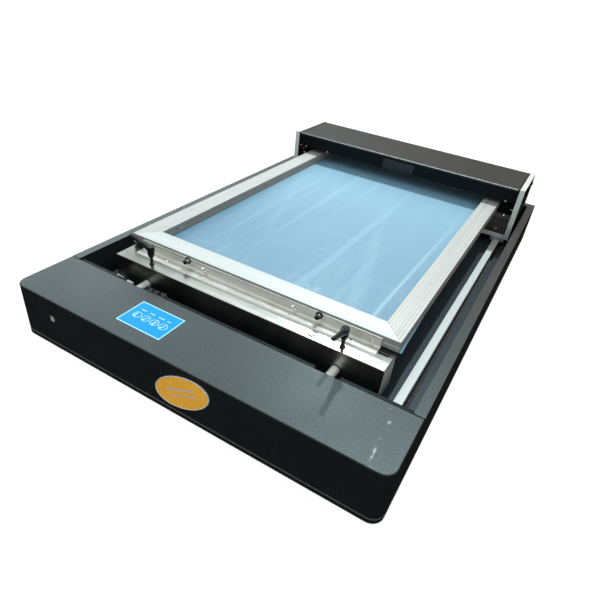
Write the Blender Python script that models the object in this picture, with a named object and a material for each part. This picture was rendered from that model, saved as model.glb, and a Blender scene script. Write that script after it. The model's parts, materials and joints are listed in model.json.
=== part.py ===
"""Flatbed machine that makes screen printing stencils, with a screen frame clamped in it.

Every size is in millimetres and becomes metres in world(). +Z is up, +X is the operator's right and
+Y runs from the operator to the rear. The origin is the middle of the bounding box, on the table.
Depths are measured from the face of the front cover, heights from the table, and widths from the
centre plane, because almost every piece is mirrored about it.
"""

import math

import bmesh
import bpy
import numpy as np
from mathutils import Matrix, Vector

# Driving dimensions -------------------------------------------------------------------------------
MM = 0.001
GAP = 0.3                     # clearance left between pieces that touch
CASE_WIDTH = 560.0
CASE_LENGTH = 856.0
FOOT_HEIGHT = 3.0
CASE_TOP = 84.5
COVER_DEPTH = 95.0            # front cover, front to rear
COVER_RADIUS = 16.0           # its two front vertical corners
SHEET = 1.5                   # folded steel sheet
RIM_WIDTH = 14.0              # rolled rim on the side walls
REAR_RIM = 16.6
TRAY_HEIGHT = 7.5             # lip of the base plate
DECK_TOP = 35.0
DECK_THICKNESS = 2.0

RAIL_X = 237.5                # linear rails, 12 x 8
RAIL_WIDTH = 12.0
RAIL_HEIGHT = 8.0

GANTRY_FRONT = 711.6
GANTRY_REAR = 838.0
GANTRY_TOP = 155.8
GANTRY_HALF = 259.4           # outer face of the end plates
END_PLATE = 9.9
LOWER_PLATE_Z = (48.0, 58.0)
HOUSING_BOTTOM = 126.0

FRAME_FRONT = 161.6
FRAME_LENGTH = 650.0
FRAME_HALF = 219.1
FRAME_TOP = 117.9
BAR_WIDTH = 31.0
BAR_HEIGHT = 15.2
MESH_THICKNESS = 0.5

BEAM_HALF = 216.8
BEAM_Y = (123.5, 162.5)
BEAM_Z = (49.0, 98.9)
BRACKET_HALF = 196.0
BRACKET_TOP = 115.0
FOOT_Y = (144.5, 186.0)       # bracket's foot, front to rear
UPRIGHT_Y = (159.0, 161.2)

SHAFT_X = 156.0               # guide shafts and the levers that lock on them
SHAFT_Z = 70.0
SHAFT_RADIUS = 6.0
SHAFT_Y = (42.0, 184.0)
LEVER_Y = 134.4
STUD_RADIUS = 3.0
SCREW_X = 108.8
SCREW_Z = 111.2
SCREW_RADIUS = 2.0
BUSH_RADIUS = 9.5

BELT_X = 247.5
BELT_WIDTH = 6.0
BELT_THICKNESS = 1.2
PULLEY_RADIUS = 6.0
DRIVE_Y = 57.0
DRIVE_Z = 21.0
DRIVE_RADIUS = 3.0            # motor shaft
IDLER_Y = 826.0
IDLER_RADIUS = 2.5

HEAD_Y = (724.0, 750.0)
HEAD_HALF = 185.0
HEAD_TOP = 98.8
HEAD_HEIGHT = 16.0
SOLENOID_X = 120.0
PIN_RADIUS = 4.0

SCREEN_X = (-113.1, -39.8)
SCREEN_Y = (23.5, 73.4)
SCREEN_PROUD = 0.2
SCREEN_THICKNESS = 7.2
BADGE_X, BADGE_Z = 15.9, 46.9
BADGE_RADII = (44.8, 24.3)
BADGE_SLANT = 24.1            # degrees, right end up
BADGE_RIM = 0.07              # share of the radii
BADGE_THICKNESS = 1.2
USB_X, USB_Z, USB_SIZE = -210.8, 53.2, 8.0
USB_WALL = 0.8
INLET_X, INLET_Z = 150.0, 46.0
INLET_SIZE = (48.0, 58.0)
INLET_DEPTH = 10.0            # of the socket and of the switch's pocket
SWITCH_Z = INLET_Z + 17.0

CASE_HALF = CASE_WIDTH / 2
TRAY_TOP = FOOT_HEIGHT + TRAY_HEIGHT
SKIRT_Z = TRAY_TOP + GAP
WALL_INNER = CASE_HALF - RIM_WIDTH
REAR_INNER = CASE_LENGTH - REAR_RIM
PANEL_REAR = GANTRY_REAR - 0.4
ORIGIN_Y = (CASE_LENGTH - BADGE_THICKNESS) / 2


# Helpers ------------------------------------------------------------------------------------------
def world(x, y, z):
    """Point in metres, in the part's frame, from machine millimetres."""
    return Vector((x, y - ORIGIN_Y, z)) * MM


def material(name, colour, roughness, metallic=0.0):
    made = bpy.data.materials.get(name) or bpy.data.materials.new(name)
    made.use_nodes = True
    shader = made.node_tree.nodes["Principled BSDF"]
    shader.inputs["Base Color"].default_value = (*colour, 1.0)
    shader.inputs["Roughness"].default_value = roughness
    shader.inputs["Metallic"].default_value = metallic
    made.diffuse_color = (*colour, 1.0)
    return made


BLACK_PAINT = material("black_paint", (0.055, 0.062, 0.067), 0.42, 0.0)
BLACK_ANODISED = material("black_anodised", (0.03, 0.033, 0.036), 0.35, 0.6)
STAINLESS = material("stainless", (0.62, 0.60, 0.56), 0.24, 1.0)
FRAME_ALUMINIUM = material("frame_aluminium", (0.80, 0.81, 0.80), 0.34, 1.0)
BARE_ALUMINIUM = material("bare_aluminium", (0.74, 0.75, 0.73), 0.4, 1.0)
RAIL_STEEL = material("rail_steel", (0.70, 0.76, 0.73), 0.22, 1.0)
SHAFT_STEEL = material("shaft_steel", (0.78, 0.78, 0.74), 0.15, 1.0)
BLUE_FILM = material("blue_film", (0.31, 0.58, 0.75), 0.3)
SCREEN_BLUE = material("screen_blue", (0.03, 0.40, 0.95), 0.12)
BADGE_GOLD = material("badge_gold", (0.58, 0.33, 0.06), 0.35)
BLACK_PLASTIC = material("black_plastic", (0.02, 0.02, 0.022), 0.4)
RUBBER = material("rubber", (0.025, 0.025, 0.025), 0.8)
MOTOR_BODY = material("motor_body", (0.08, 0.08, 0.085), 0.5, 0.3)
BOARD_GREEN = material("board_green", (0.02, 0.16, 0.08), 0.5)
PULLEY_ALUMINIUM = material("pulley_aluminium", (0.72, 0.73, 0.74), 0.3, 1.0)
HEAD_CERAMIC = material("head_ceramic", (0.42, 0.40, 0.37), 0.35)


def finish(name, bm, slot, origin=None):
    """Makes the object from bm, whose points are in machine millimetres."""
    for vert in bm.verts:
        vert.co = world(*vert.co)
    bmesh.ops.recalc_face_normals(bm, faces=bm.faces)
    mesh = bpy.data.meshes.new(name)
    bm.to_mesh(mesh)
    bm.free()
    mesh.materials.append(slot)
    if origin is None:
        corners = np.array([vert.co for vert in mesh.vertices])
        place = Vector((corners.min(axis=0) + corners.max(axis=0)) / 2)
    else:
        place = world(*origin)
    mesh.transform(Matrix.Translation(-place))
    made = bpy.data.objects.new(name, mesh)
    made.location = place
    bpy.context.collection.objects.link(made)
    return made


def apply_modifiers(made):
    """Replaces the object's mesh with its evaluated one, so that later cuts start from it."""
    depsgraph = bpy.context.evaluated_depsgraph_get()
    shaped = bpy.data.meshes.new_from_object(made.evaluated_get(depsgraph))
    made.modifiers.clear()
    made.data = shaped


def combine(made, others, operation):
    """Unites or subtracts the other objects, and removes them."""
    for other in others:
        other.hide_render = True
        other.display_type = "WIRE"
        step = made.modifiers.new(operation.lower(), "BOOLEAN")
        step.operation = operation
        step.solver = "EXACT"
        step.object = other
    bpy.context.view_layer.update()
    apply_modifiers(made)
    for other in others:
        bpy.data.objects.remove(other)
    return made


def cut(made, cutters):
    return combine(made, cutters, "DIFFERENCE")


def unite(made, others):
    return combine(made, others, "UNION")


def soften(made, width, segments=2, angle=40.0):
    """Rounds the sharp edges."""
    step = made.modifiers.new("edges", "BEVEL")
    step.width = width * MM
    step.segments = segments
    step.limit_method = "ANGLE"
    step.angle_limit = math.radians(angle)
    step.harden_normals = False
    bpy.context.view_layer.update()
    apply_modifiers(made)
    return made


def shade(made, angle=35.0):
    made.data.shade_smooth()
    made.data.set_sharp_from_angle(angle=math.radians(angle))
    return made


def bridge(bm, lower, upper):
    """Joins two rings of the same number of points with a band of faces."""
    count = len(lower)
    for index in range(count):
        after = (index + 1) % count
        bm.faces.new((lower[index], lower[after], upper[after], upper[index]))


def prism(name, outline, axis, low, high, slot=BLACK_PAINT, origin=None):
    """Extrudes an outline along an axis. The outline's numbers are the other two axes, in order."""
    bm = bmesh.new()
    place = "xyz".index(axis)
    bottom, top = [[bm.verts.new((*point[:place], level, *point[place:])) for point in outline]
                   for level in (low, high)]
    bm.faces.new(bottom)
    bm.faces.new(list(reversed(top)))
    bridge(bm, bottom, top)
    return finish(name, bm, slot, origin)


def box(name, xs, ys, zs, slot=BLACK_PAINT, origin=None):
    outline = [(xs[0], ys[0]), (xs[1], ys[0]), (xs[1], ys[1]), (xs[0], ys[1])]
    return prism(name, outline, "z", zs[0], zs[1], slot, origin)


def circle(centre, radius, segments):
    angles = [2 * math.pi * index / segments for index in range(segments)]
    return [(centre[0] + radius * math.cos(a), centre[1] + radius * math.sin(a)) for a in angles]


def turned(name, profile, place, slot, segments=24, axis="z"):
    """Solid of revolution: profile holds (radius, height) from the bottom, closed on its axis."""
    bm = bmesh.new()
    rings = []
    for radius, height in profile:
        ring = [bm.verts.new((radius * math.cos(a), radius * math.sin(a), height))
                for a in np.linspace(0, 2 * math.pi, segments, endpoint=False)]
        rings.append(ring)
    for lower, upper in zip(rings, rings[1:]):
        bridge(bm, lower, upper)
    bm.faces.new(list(reversed(rings[0])))
    bm.faces.new(rings[-1])
    turn = {"z": Matrix.Identity(3), "y": Matrix.Rotation(-math.pi / 2, 3, "X"),
            "x": Matrix.Rotation(math.pi / 2, 3, "Y")}[axis]
    for vert in bm.verts:
        vert.co = turn @ vert.co + Vector(place)
    return finish(name, bm, slot, place)


def rounded_front(half, front, rear, radius, segments=8):
    """Outline in X and Y with two round front corners."""
    points = [(half, rear), (-half, rear)]
    for centre_x, start in ((-half + radius, math.pi), (half - radius, 1.5 * math.pi)):
        for step in range(segments + 1):
            angle = start + step * math.pi / 2 / segments
            points.append((centre_x + radius * math.cos(angle),
                           front + radius + radius * math.sin(angle)))
    return points


def sides():
    """The two sides of the machine, as a name and a sign."""
    return (("left", -1.0), ("right", 1.0))


def span(sign, low, high):
    """X limits on one side, lowest first."""
    return tuple(sorted((sign * low, sign * high)))


def mirrored(outline, sign):
    return [(sign * a, b) for a, b in outline]


# Casing -------------------------------------------------------------------------------------------
def make_base_plate():
    tray = prism("base_plate", rounded_front(CASE_HALF, 0.0, CASE_LENGTH, COVER_RADIUS), "z",
                 FOOT_HEIGHT, TRAY_TOP)
    inner = rounded_front(CASE_HALF - 2.0, 2.0, CASE_LENGTH - 2.0, COVER_RADIUS - 2.0)
    return shade(cut(tray, [prism("tray_inside", inner, "z", FOOT_HEIGHT + 2.0, TRAY_TOP + 5.0)]))


def make_feet():
    for depth_name, y in (("front", 60.0), ("rear", CASE_LENGTH - 60.0)):
        for side, sign in sides():
            profile = [(9.0, 0.0), (10.0, 0.6), (10.0, FOOT_HEIGHT - GAP)]
            foot = turned(f"foot_{depth_name}_{side}", profile, (sign * 240.0, y, 0.0), RUBBER)
            shade(foot)


def make_front_cover():
    outer = rounded_front(CASE_HALF, 0.0, COVER_DEPTH, COVER_RADIUS)
    cover = soften(prism("front_cover", outer, "z", SKIRT_Z, CASE_TOP), 1.6, 3, 60.0)
    inner = rounded_front(CASE_HALF - SHEET, SHEET, COVER_DEPTH + 20.0, COVER_RADIUS - SHEET)
    hollow = prism("cover_inside", inner, "z", 0.0, CASE_TOP - SHEET)
    window = box("screen_opening", (SCREEN_X[0] - GAP, SCREEN_X[1] + GAP),
                 (SCREEN_Y[0] - GAP, SCREEN_Y[1] + GAP), (CASE_TOP - 10.0, CASE_TOP + 10.0))
    half = USB_SIZE / 2 + GAP
    port = box("usb_opening", (USB_X - half, USB_X + half), (-5.0, 10.0),
               (USB_Z - half, USB_Z + half))
    return shade(cut(cover, [hollow, window, port]))


def wall_profile(outer, inner):
    """Section of a wall: outer skin, flat rim and inner skin, open underneath."""
    return [(outer, SKIRT_Z), (outer, CASE_TOP), (inner, CASE_TOP), (inner, SKIRT_Z),
            (inner + SHEET, SKIRT_Z), (inner + SHEET, CASE_TOP - SHEET),
            (outer - SHEET, CASE_TOP - SHEET), (outer - SHEET, SKIRT_Z)]


def make_side_walls():
    for side, sign in sides():
        outline = mirrored(wall_profile(CASE_HALF, WALL_INNER), sign)
        wall = prism(f"{side}_wall", outline, "y", COVER_DEPTH + GAP, REAR_INNER - GAP)
        shade(soften(wall, 0.5, 2))


def make_rear_wall():
    """Rear wall over the whole width, hollow between its two skins and closed at both ends."""
    outer = box("rear_wall", (-CASE_HALF, CASE_HALF), (REAR_INNER, CASE_LENGTH), (SKIRT_Z, CASE_TOP))
    wall = soften(outer, 0.5, 2)
    hollow = box("wall_inside", (-CASE_HALF + SHEET, CASE_HALF - SHEET),
                 (REAR_INNER + SHEET, CASE_LENGTH - SHEET), (0.0, CASE_TOP - SHEET))
    half_x = INLET_SIZE[0] / 2 + GAP
    half_z = INLET_SIZE[1] / 2 + GAP
    opening = box("inlet_opening", (INLET_X - half_x, INLET_X + half_x),
                  (CASE_LENGTH - 5.0, CASE_LENGTH + 5.0), (INLET_Z - half_z, INLET_Z + half_z))
    return shade(cut(wall, [hollow, opening]))


def make_inner_panel():
    """Bulkhead behind the front cover, with a folded top edge, notched for shafts and belts."""
    top = CASE_TOP - 2.6
    front = COVER_DEPTH + GAP
    fold = front + 7.0
    outline = [(front, TRAY_TOP + GAP), (front + SHEET, TRAY_TOP + GAP), (front + SHEET, top - SHEET),
               (fold, top - SHEET), (fold, top), (front, top)]
    half = WALL_INNER - GAP
    panel = prism("inner_panel", outline, "x", -half, half, BLACK_ANODISED)
    cutters = []
    for side, sign in sides():
        cutters.append(box(f"shaft_notch_{side}", span(sign, SHAFT_X - 17.0, SHAFT_X + 17.0),
                           (front - 5.0, front + 15.0), (SHAFT_Z - 14.0, top + 5.0)))
        cutters.append(box(f"belt_notch_{side}", span(sign, BELT_X - 6.0, BELT_X + 6.0),
                           (front - 5.0, front + 15.0), (0.0, DECK_TOP - 3.0)))
    return cut(panel, cutters)


def make_deck():
    """Floor of the well, with a slot beside each rail for the belt clamps."""
    front = COVER_DEPTH + GAP + SHEET + GAP
    deck = box("deck", (-WALL_INNER + GAP, WALL_INNER - GAP), (front, REAR_INNER - GAP),
               (DECK_TOP - DECK_THICKNESS, DECK_TOP), BLACK_ANODISED)
    slots = [box(f"belt_slot_{side}", span(sign, BELT_X - 3.3, BELT_X + 2.7),
                 (front + 6.0, IDLER_Y - 14.0), (DECK_TOP - 10.0, DECK_TOP + 10.0))
             for side, sign in sides()]
    return cut(deck, slots)


def make_rails():
    """Linear rails: a bar with a shallow groove along each flank."""
    low, high = DECK_TOP + GAP, DECK_TOP + RAIL_HEIGHT
    flank, groove = RAIL_WIDTH / 2, RAIL_WIDTH / 2 - 0.9
    half = [(flank, low), (flank, high - 5.0), (groove, high - 4.0), (groove, high - 2.6),
            (flank, high - 1.8), (flank, high - 0.5), (flank - 0.5, high)]
    outline = half + [(-x, z) for x, z in reversed(half)]
    for side, sign in sides():
        placed = [(sign * RAIL_X + x, z) for x, z in outline]
        prism(f"rail_{side}", placed, "y", COVER_DEPTH + 3.0, REAR_INNER - 1.0, RAIL_STEEL)


# Controls and power -------------------------------------------------------------------------------
def make_touch_screen():
    top = CASE_TOP + SCREEN_PROUD
    screen = box("touch_screen", SCREEN_X, SCREEN_Y, (top - SCREEN_THICKNESS, top), SCREEN_BLUE)
    return soften(screen, 0.3, 1)


def make_control_board():
    """Circuit board under the display, with its processor and a connector on the lower side."""
    top = CASE_TOP - 12.4
    bottom = top - 1.6
    inside = bottom + 1.0
    board = box("control_board", (-138.0, -18.0), (18.0, 80.0), (bottom, top), BOARD_GREEN)
    parts = [box("board_chip", (-100.0, -86.0), (40.0, 54.0), (bottom - 2.6, inside)),
             box("board_socket", (-134.0, -122.0), (30.0, 60.0), (bottom - 10.0, inside))]
    return unite(board, parts)


def make_badge():
    """Plain oval name plate with a slightly raised rim, stuck on at a slant."""
    slant = math.radians(BADGE_SLANT)
    cosine, sine = math.cos(slant), math.sin(slant)

    def oval(scale):
        points = []
        for a, b in circle((0.0, 0.0), scale, 48):
            along, across = a * BADGE_RADII[0], b * BADGE_RADII[1]
            points.append((BADGE_X + along * cosine - across * sine,
                           BADGE_Z + along * sine + across * cosine))
        return points

    plate = prism("badge_plate", oval(1.0), "y", -BADGE_THICKNESS, -GAP, BADGE_GOLD)
    field = prism("badge_field", oval(1.0 - BADGE_RIM), "y",
                  -BADGE_THICKNESS - 1.0, -BADGE_THICKNESS + 0.3)
    return shade(cut(plate, [field]))


def make_usb_socket():
    half = USB_SIZE / 2
    inner = half - USB_WALL
    socket = box("usb_socket", (USB_X - half, USB_X + half), (0.2, 15.0),
                 (USB_Z - half, USB_Z + half), BARE_ALUMINIUM)
    mouth = box("usb_mouth", (USB_X - inner, USB_X + inner), (-2.0, 10.0),
                (USB_Z - inner, USB_Z + inner))
    return cut(socket, [mouth])


def make_power_inlet():
    """Mains inlet and switch housing, flush with the rear wall."""
    half_x, half_z = INLET_SIZE[0] / 2, INLET_SIZE[1] / 2
    rear = CASE_LENGTH - 0.2
    body = box("power_inlet", (INLET_X - half_x, INLET_X + half_x), (REAR_INNER + 1.9, rear),
               (INLET_Z - half_z, INLET_Z + half_z), BLACK_PLASTIC)
    socket_z = INLET_Z - 9.0
    mouth = [(-12.0, -8.0), (12.0, -8.0), (12.0, 4.0), (8.0, 8.0), (-8.0, 8.0), (-12.0, 4.0)]
    cavity = prism("inlet_mouth", [(INLET_X + a, socket_z + b) for a, b in mouth], "y",
                   rear - INLET_DEPTH, rear + 2.0)
    pocket = box("switch_pocket", (INLET_X - 13.0, INLET_X + 13.0), (rear - INLET_DEPTH, rear + 2.0),
                 (SWITCH_Z - 8.0, SWITCH_Z + 8.0))
    return cut(body, [cavity, pocket])


def make_rocker():
    """Rocker of the mains switch, turning about a hidden pin along X."""
    pivot_y = CASE_LENGTH - 6.0
    section = [(-2.5, -4.0), (3.6, -7.0), (3.0, 0.0), (4.6, 6.6), (-2.5, 4.0)]
    outline = [(pivot_y + a, SWITCH_Z + b) for a, b in section]
    return prism("power_switch", outline, "x", INLET_X - 12.0, INLET_X + 12.0, BLACK_PLASTIC,
                 (INLET_X, pivot_y, SWITCH_Z))


def make_limit_switch():
    """Bracket on the deck with two bright lugs beside the left guide shaft."""
    front = COVER_DEPTH + 9.0
    rear = front + 6.0
    low, high = 64.0, 68.0
    bracket = box("limit_switch", (-204.0, -169.0), (front, rear), (low, high), BARE_ALUMINIUM)
    lugs = [box("switch_lug_a", (-203.0, -188.0), (front + 0.5, rear - 0.5), (high - 1.0, 75.8)),
            box("switch_lug_b", (-184.0, -170.0), (front + 1.0, rear - 1.0), (high - 1.0, 74.4)),
            box("switch_stem", (-194.0, -180.0), (front, front + 3.0), (DECK_TOP + GAP, low + 1.0))]
    return unite(bracket, lugs)


# Guide shafts and belt drive ----------------------------------------------------------------------
def make_guide_shafts():
    """Round shafts that stick out of the front cover's rear, each held by a block on the tray."""
    block_half = 11.0
    block_y = (SHAFT_Y[0] + 2.0, SHAFT_Y[0] + 32.0)
    for side, sign in sides():
        x = sign * SHAFT_X
        shaft = prism(f"guide_shaft_{side}", circle((x, SHAFT_Z), SHAFT_RADIUS, 32), "y", *SHAFT_Y,
                      SHAFT_STEEL)
        shade(soften(shaft, 0.6, 1, 60.0))
        block = box(f"shaft_block_{side}", (x - block_half, x + block_half), block_y,
                    (FOOT_HEIGHT + 2.0 + GAP, SHAFT_Z + 9.0), BARE_ALUMINIUM)
        bore = prism("shaft_bore", circle((x, SHAFT_Z), SHAFT_RADIUS + GAP, 32), "y", 30.0, 90.0)
        way = prism("drive_bore", circle((DRIVE_Y, DRIVE_Z), DRIVE_RADIUS + GAP, 24), "x",
                    x - 20.0, x + 20.0)
        cut(block, [bore, way])


def make_motor():
    """Stepper motor whose shaft comes out of both ends."""
    half = 14.1
    motor = box("drive_motor", (-25.0, 25.0), (DRIVE_Y - half, DRIVE_Y + half),
                (DRIVE_Z - half, DRIVE_Z + half), MOTOR_BODY)
    motor = soften(motor, 1.5, 2)
    bore = prism("motor_bore", circle((DRIVE_Y, DRIVE_Z), DRIVE_RADIUS + GAP, 24), "x", -40.0, 40.0)
    return cut(motor, [bore])


def make_drive_shaft():
    half = BELT_X + 6.5
    shaft = prism("drive_shaft", circle((DRIVE_Y, DRIVE_Z), DRIVE_RADIUS, 20), "x", -half, half,
                  SHAFT_STEEL, (0.0, DRIVE_Y, DRIVE_Z))
    return shade(shaft)


def make_pulley(name, x, y, bore):
    """Timing pulley with two flanges and a bore."""
    flange = PULLEY_RADIUS + 1.6
    inner = BELT_WIDTH / 2 + 0.6
    outer = inner + 1.0
    profile = [(flange, -outer), (flange, -inner), (PULLEY_RADIUS, -inner), (PULLEY_RADIUS, inner),
               (flange, inner), (flange, outer)]
    pulley = turned(name, profile, (x, y, DRIVE_Z), PULLEY_ALUMINIUM, 32, "x")
    hole = prism("pulley_bore", circle((y, DRIVE_Z), bore, 24), "x", x - 20.0, x + 20.0)
    return shade(cut(pulley, [hole]))


def make_belts():
    """Closed timing belts: one loop round the drive pulley and the idler on each side."""

    def loop(radius, segments=12):
        points = []
        for centre, start in ((IDLER_Y, -math.pi / 2), (DRIVE_Y, math.pi / 2)):
            for step in range(segments + 1):
                angle = start + math.pi * step / segments
                points.append((centre + radius * math.cos(angle),
                               DRIVE_Z + radius * math.sin(angle)))
        return points

    inner = PULLEY_RADIUS + GAP
    for side, sign in sides():
        low, high = sign * BELT_X - BELT_WIDTH / 2, sign * BELT_X + BELT_WIDTH / 2
        belt = prism(f"belt_{side}", loop(inner + BELT_THICKNESS), "x", low, high, RUBBER)
        shade(cut(belt, [prism("belt_inside", loop(inner), "x", low - 5.0, high + 5.0)]))


def make_drive():
    make_motor()
    make_drive_shaft()
    for side, sign in sides():
        make_pulley(f"drive_pulley_{side}", sign * BELT_X, DRIVE_Y, DRIVE_RADIUS + GAP)
        make_pulley(f"idler_pulley_{side}", sign * BELT_X, IDLER_Y, IDLER_RADIUS + GAP)
    half = WALL_INNER - 1.0
    axle = prism("idler_axle", circle((IDLER_Y, DRIVE_Z), IDLER_RADIUS, 20), "x", -half, half,
                 SHAFT_STEEL)
    shade(axle)
    make_belts()


# Gantry -------------------------------------------------------------------------------------------
def make_end_plates():
    for side, sign in sides():
        plate = box(f"gantry_end_{side}", span(sign, GANTRY_HALF - END_PLATE, GANTRY_HALF),
                    (GANTRY_FRONT - 0.6, GANTRY_REAR), (LOWER_PLATE_Z[0], GANTRY_TOP), BARE_ALUMINIUM)
        soften(plate, 0.4, 1)


def make_lower_plate():
    """Plate that closes the ring under the screen frame."""
    half = GANTRY_HALF - END_PLATE - GAP
    plate = box("gantry_lower_plate", (-half, half), (GANTRY_FRONT, PANEL_REAR), LOWER_PLATE_Z,
                BLACK_ANODISED)
    return soften(plate, 0.4, 1)


def make_housing():
    """Upper box of the gantry: folded top cover, front and rear panels, and a channel inside."""
    half = GANTRY_HALF - END_PLATE - GAP
    top = GANTRY_TOP - 1.0
    front, rear = GANTRY_FRONT, PANEL_REAR
    front_lip, rear_lip = top - 5.0, top - 12.0
    cover = [(front, front_lip), (front, top), (rear, top), (rear, rear_lip), (rear - SHEET, rear_lip),
             (rear - SHEET, top - SHEET), (front + SHEET, top - SHEET), (front + SHEET, front_lip)]
    shade(soften(prism("gantry_top_cover", cover, "x", -half, half), 0.5, 2))
    soften(box("gantry_front_panel", (-half, half), (front, front + SHEET),
               (HOUSING_BOTTOM, front_lip - GAP), BLACK_ANODISED), 0.3, 1)
    soften(box("gantry_rear_panel", (-half, half), (rear - SHEET, rear),
               (HOUSING_BOTTOM, rear_lip - GAP), BLACK_ANODISED), 0.3, 1)
    first, last = front + SHEET + GAP, rear - SHEET - GAP
    floor = HOUSING_BOTTOM + SHEET
    front_flange, rear_flange = HOUSING_BOTTOM + 16.0, HOUSING_BOTTOM + 12.0
    channel = [(first, HOUSING_BOTTOM), (last, HOUSING_BOTTOM), (last, rear_flange),
               (last - SHEET, rear_flange), (last - SHEET, floor), (first + SHEET, floor),
               (first + SHEET, front_flange), (first, front_flange)]
    prism("gantry_cross_beam", channel, "x", -half, half, BARE_ALUMINIUM)


def make_carriages():
    """Runner blocks that wrap the rails."""
    low, high, rail_top = DECK_TOP + 3.5, LOWER_PLATE_Z[0] - GAP, DECK_TOP + RAIL_HEIGHT + GAP
    wing, slot = 13.5, RAIL_WIDTH / 2 + GAP
    for side, sign in sides():
        outline = [(-wing, low), (-slot, low), (-slot, rail_top), (slot, rail_top), (slot, low),
                   (wing, low), (wing, high), (-wing, high)]
        placed = [(sign * RAIL_X + x, z) for x, z in outline]
        prism(f"carriage_{side}", placed, "y", 716.0, 776.0, BARE_ALUMINIUM)


def make_belt_clamps():
    """Hooks that reach through the deck's slots and hold the upper run of each belt."""
    under = DRIVE_Z + PULLEY_RADIUS
    over = under + BELT_THICKNESS + 2 * GAP
    bottom, shoulder, top = under - 2.1, over + 2.1, LOWER_PLATE_Z[0] - GAP
    back, throat, tip = -5.6, -3.5, 4.2
    neck = (-2.9, 2.3)
    outline = [(neck[0], top), (neck[0], shoulder), (back, shoulder), (back, bottom), (tip, bottom),
               (tip, under), (throat, under), (throat, over), (tip, over), (tip, shoulder),
               (neck[1], shoulder), (neck[1], top)]
    for side, sign in sides():
        placed = [(sign * (BELT_X + x), z) for x, z in outline]
        prism(f"belt_clamp_{side}", placed, "y", 786.0, 800.0, BARE_ALUMINIUM)


def make_solenoids():
    """Lift solenoids that stand on the lower plate and guide the print head's two pins."""
    middle = sum(HEAD_Y) / 2
    top = HEAD_TOP - HEAD_HEIGHT - 1.0
    for side, sign in sides():
        x = sign * SOLENOID_X
        body = box(f"lift_solenoid_{side}", (x - 12.0, x + 12.0), (middle - 11.0, middle + 11.0),
                   (LOWER_PLATE_Z[1] + GAP, top), MOTOR_BODY)
        soften(body, 0.8, 1)
        cut(body, [prism("pin_bore", circle((x, middle), PIN_RADIUS + GAP, 24), "z",
                         LOWER_PLATE_Z[1] + 4.0, HEAD_TOP)])


def make_thermal_head():
    """Bar that heats the stencil film from below, with its heat line on top and two guide pins."""
    front, rear = HEAD_Y
    middle = (front + rear) / 2
    top, foot = HEAD_TOP, HEAD_TOP - HEAD_HEIGHT
    outline = [(front, foot), (rear, foot), (rear, top - 5.0), (rear - 9.0, top - 1.0),
               (rear - 11.0, top), (front + 7.0, top), (front + 5.0, top - 1.0), (front, top - 4.0)]
    head = prism("thermal_head", outline, "x", -HEAD_HALF, HEAD_HALF, HEAD_CERAMIC,
                 (0.0, middle, HEAD_TOP))
    pins = [prism(f"head_pin_{side}", circle((sign * SOLENOID_X, middle), PIN_RADIUS, 24), "z",
                  LOWER_PLATE_Z[1] + 8.0, foot + 2.0) for side, sign in sides()]
    return unite(head, pins)


# Clamp beam and screen frame ----------------------------------------------------------------------
def make_clamp_beam():
    """Folded stainless beam, open underneath, that slides on the guide shafts."""
    wall = 2.0
    beam = soften(box("clamp_beam", (-BEAM_HALF, BEAM_HALF), BEAM_Y, BEAM_Z, STAINLESS), 0.8, 2)
    hollow = box("beam_inside", (-BEAM_HALF + wall, BEAM_HALF - wall),
                 (BEAM_Y[0] + wall, BEAM_Y[1] - wall), (BEAM_Z[0] - 10.0, BEAM_Z[1] - wall))
    bores = [prism(f"bush_bore_{side}", circle((sign * SHAFT_X, SHAFT_Z), BUSH_RADIUS + GAP, 32), "y",
                   BEAM_Y[0] - 10.0, BEAM_Y[1] + 10.0) for side, sign in sides()]
    studs = [prism(f"stud_hole_{side}", circle((sign * SHAFT_X, LEVER_Y), STUD_RADIUS + GAP, 24), "z",
                   BEAM_Z[1] - 10.0, BEAM_Z[1] + 10.0) for side, sign in sides()]
    return shade(cut(beam, [hollow, *bores, *studs]))


def make_bushes():
    for side, sign in sides():
        centre = (sign * SHAFT_X, SHAFT_Z)
        bush = prism(f"beam_bush_{side}", circle(centre, BUSH_RADIUS, 32), "y",
                     BEAM_Y[0] - 0.5, BEAM_Y[1] + 0.5, BLACK_PLASTIC)
        bore = prism("bush_inside", circle(centre, SHAFT_RADIUS + GAP, 32), "y",
                     BEAM_Y[0] - 10.0, BEAM_Y[1] + 10.0)
        shade(cut(bush, [bore]))


def make_bracket():
    """T section on the beam: a foot with a ledge under the frame, and an upright in front of it."""
    low, foot, ledge = BEAM_Z[1] + GAP, BEAM_Z[1] + 1.5, BEAM_Z[1] + 2.4
    front, rear = FOOT_Y
    bend = 2.4
    fold = [(UPRIGHT_Y[0] - bend * (1.0 - math.cos(step * math.pi / 8)),
             foot + bend * (1.0 - math.sin(step * math.pi / 8))) for step in range(5)]
    outline = [(front, low), (rear, low), (rear, ledge), (UPRIGHT_Y[1], ledge),
               (UPRIGHT_Y[1], BRACKET_TOP), (UPRIGHT_Y[0], BRACKET_TOP), *fold, (front, foot)]
    bracket = prism("clamp_bracket", outline, "x", -BRACKET_HALF, BRACKET_HALF, STAINLESS)
    half = SCREW_RADIUS + 0.6
    slots = [box(f"screw_slot_{side}", (sign * SCREW_X - half, sign * SCREW_X + half),
                 (UPRIGHT_Y[0] - 5.0, UPRIGHT_Y[1] + 0.2), (SCREW_Z - half, BRACKET_TOP + 5.0))
             for side, sign in sides()]
    return cut(bracket, slots)


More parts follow.
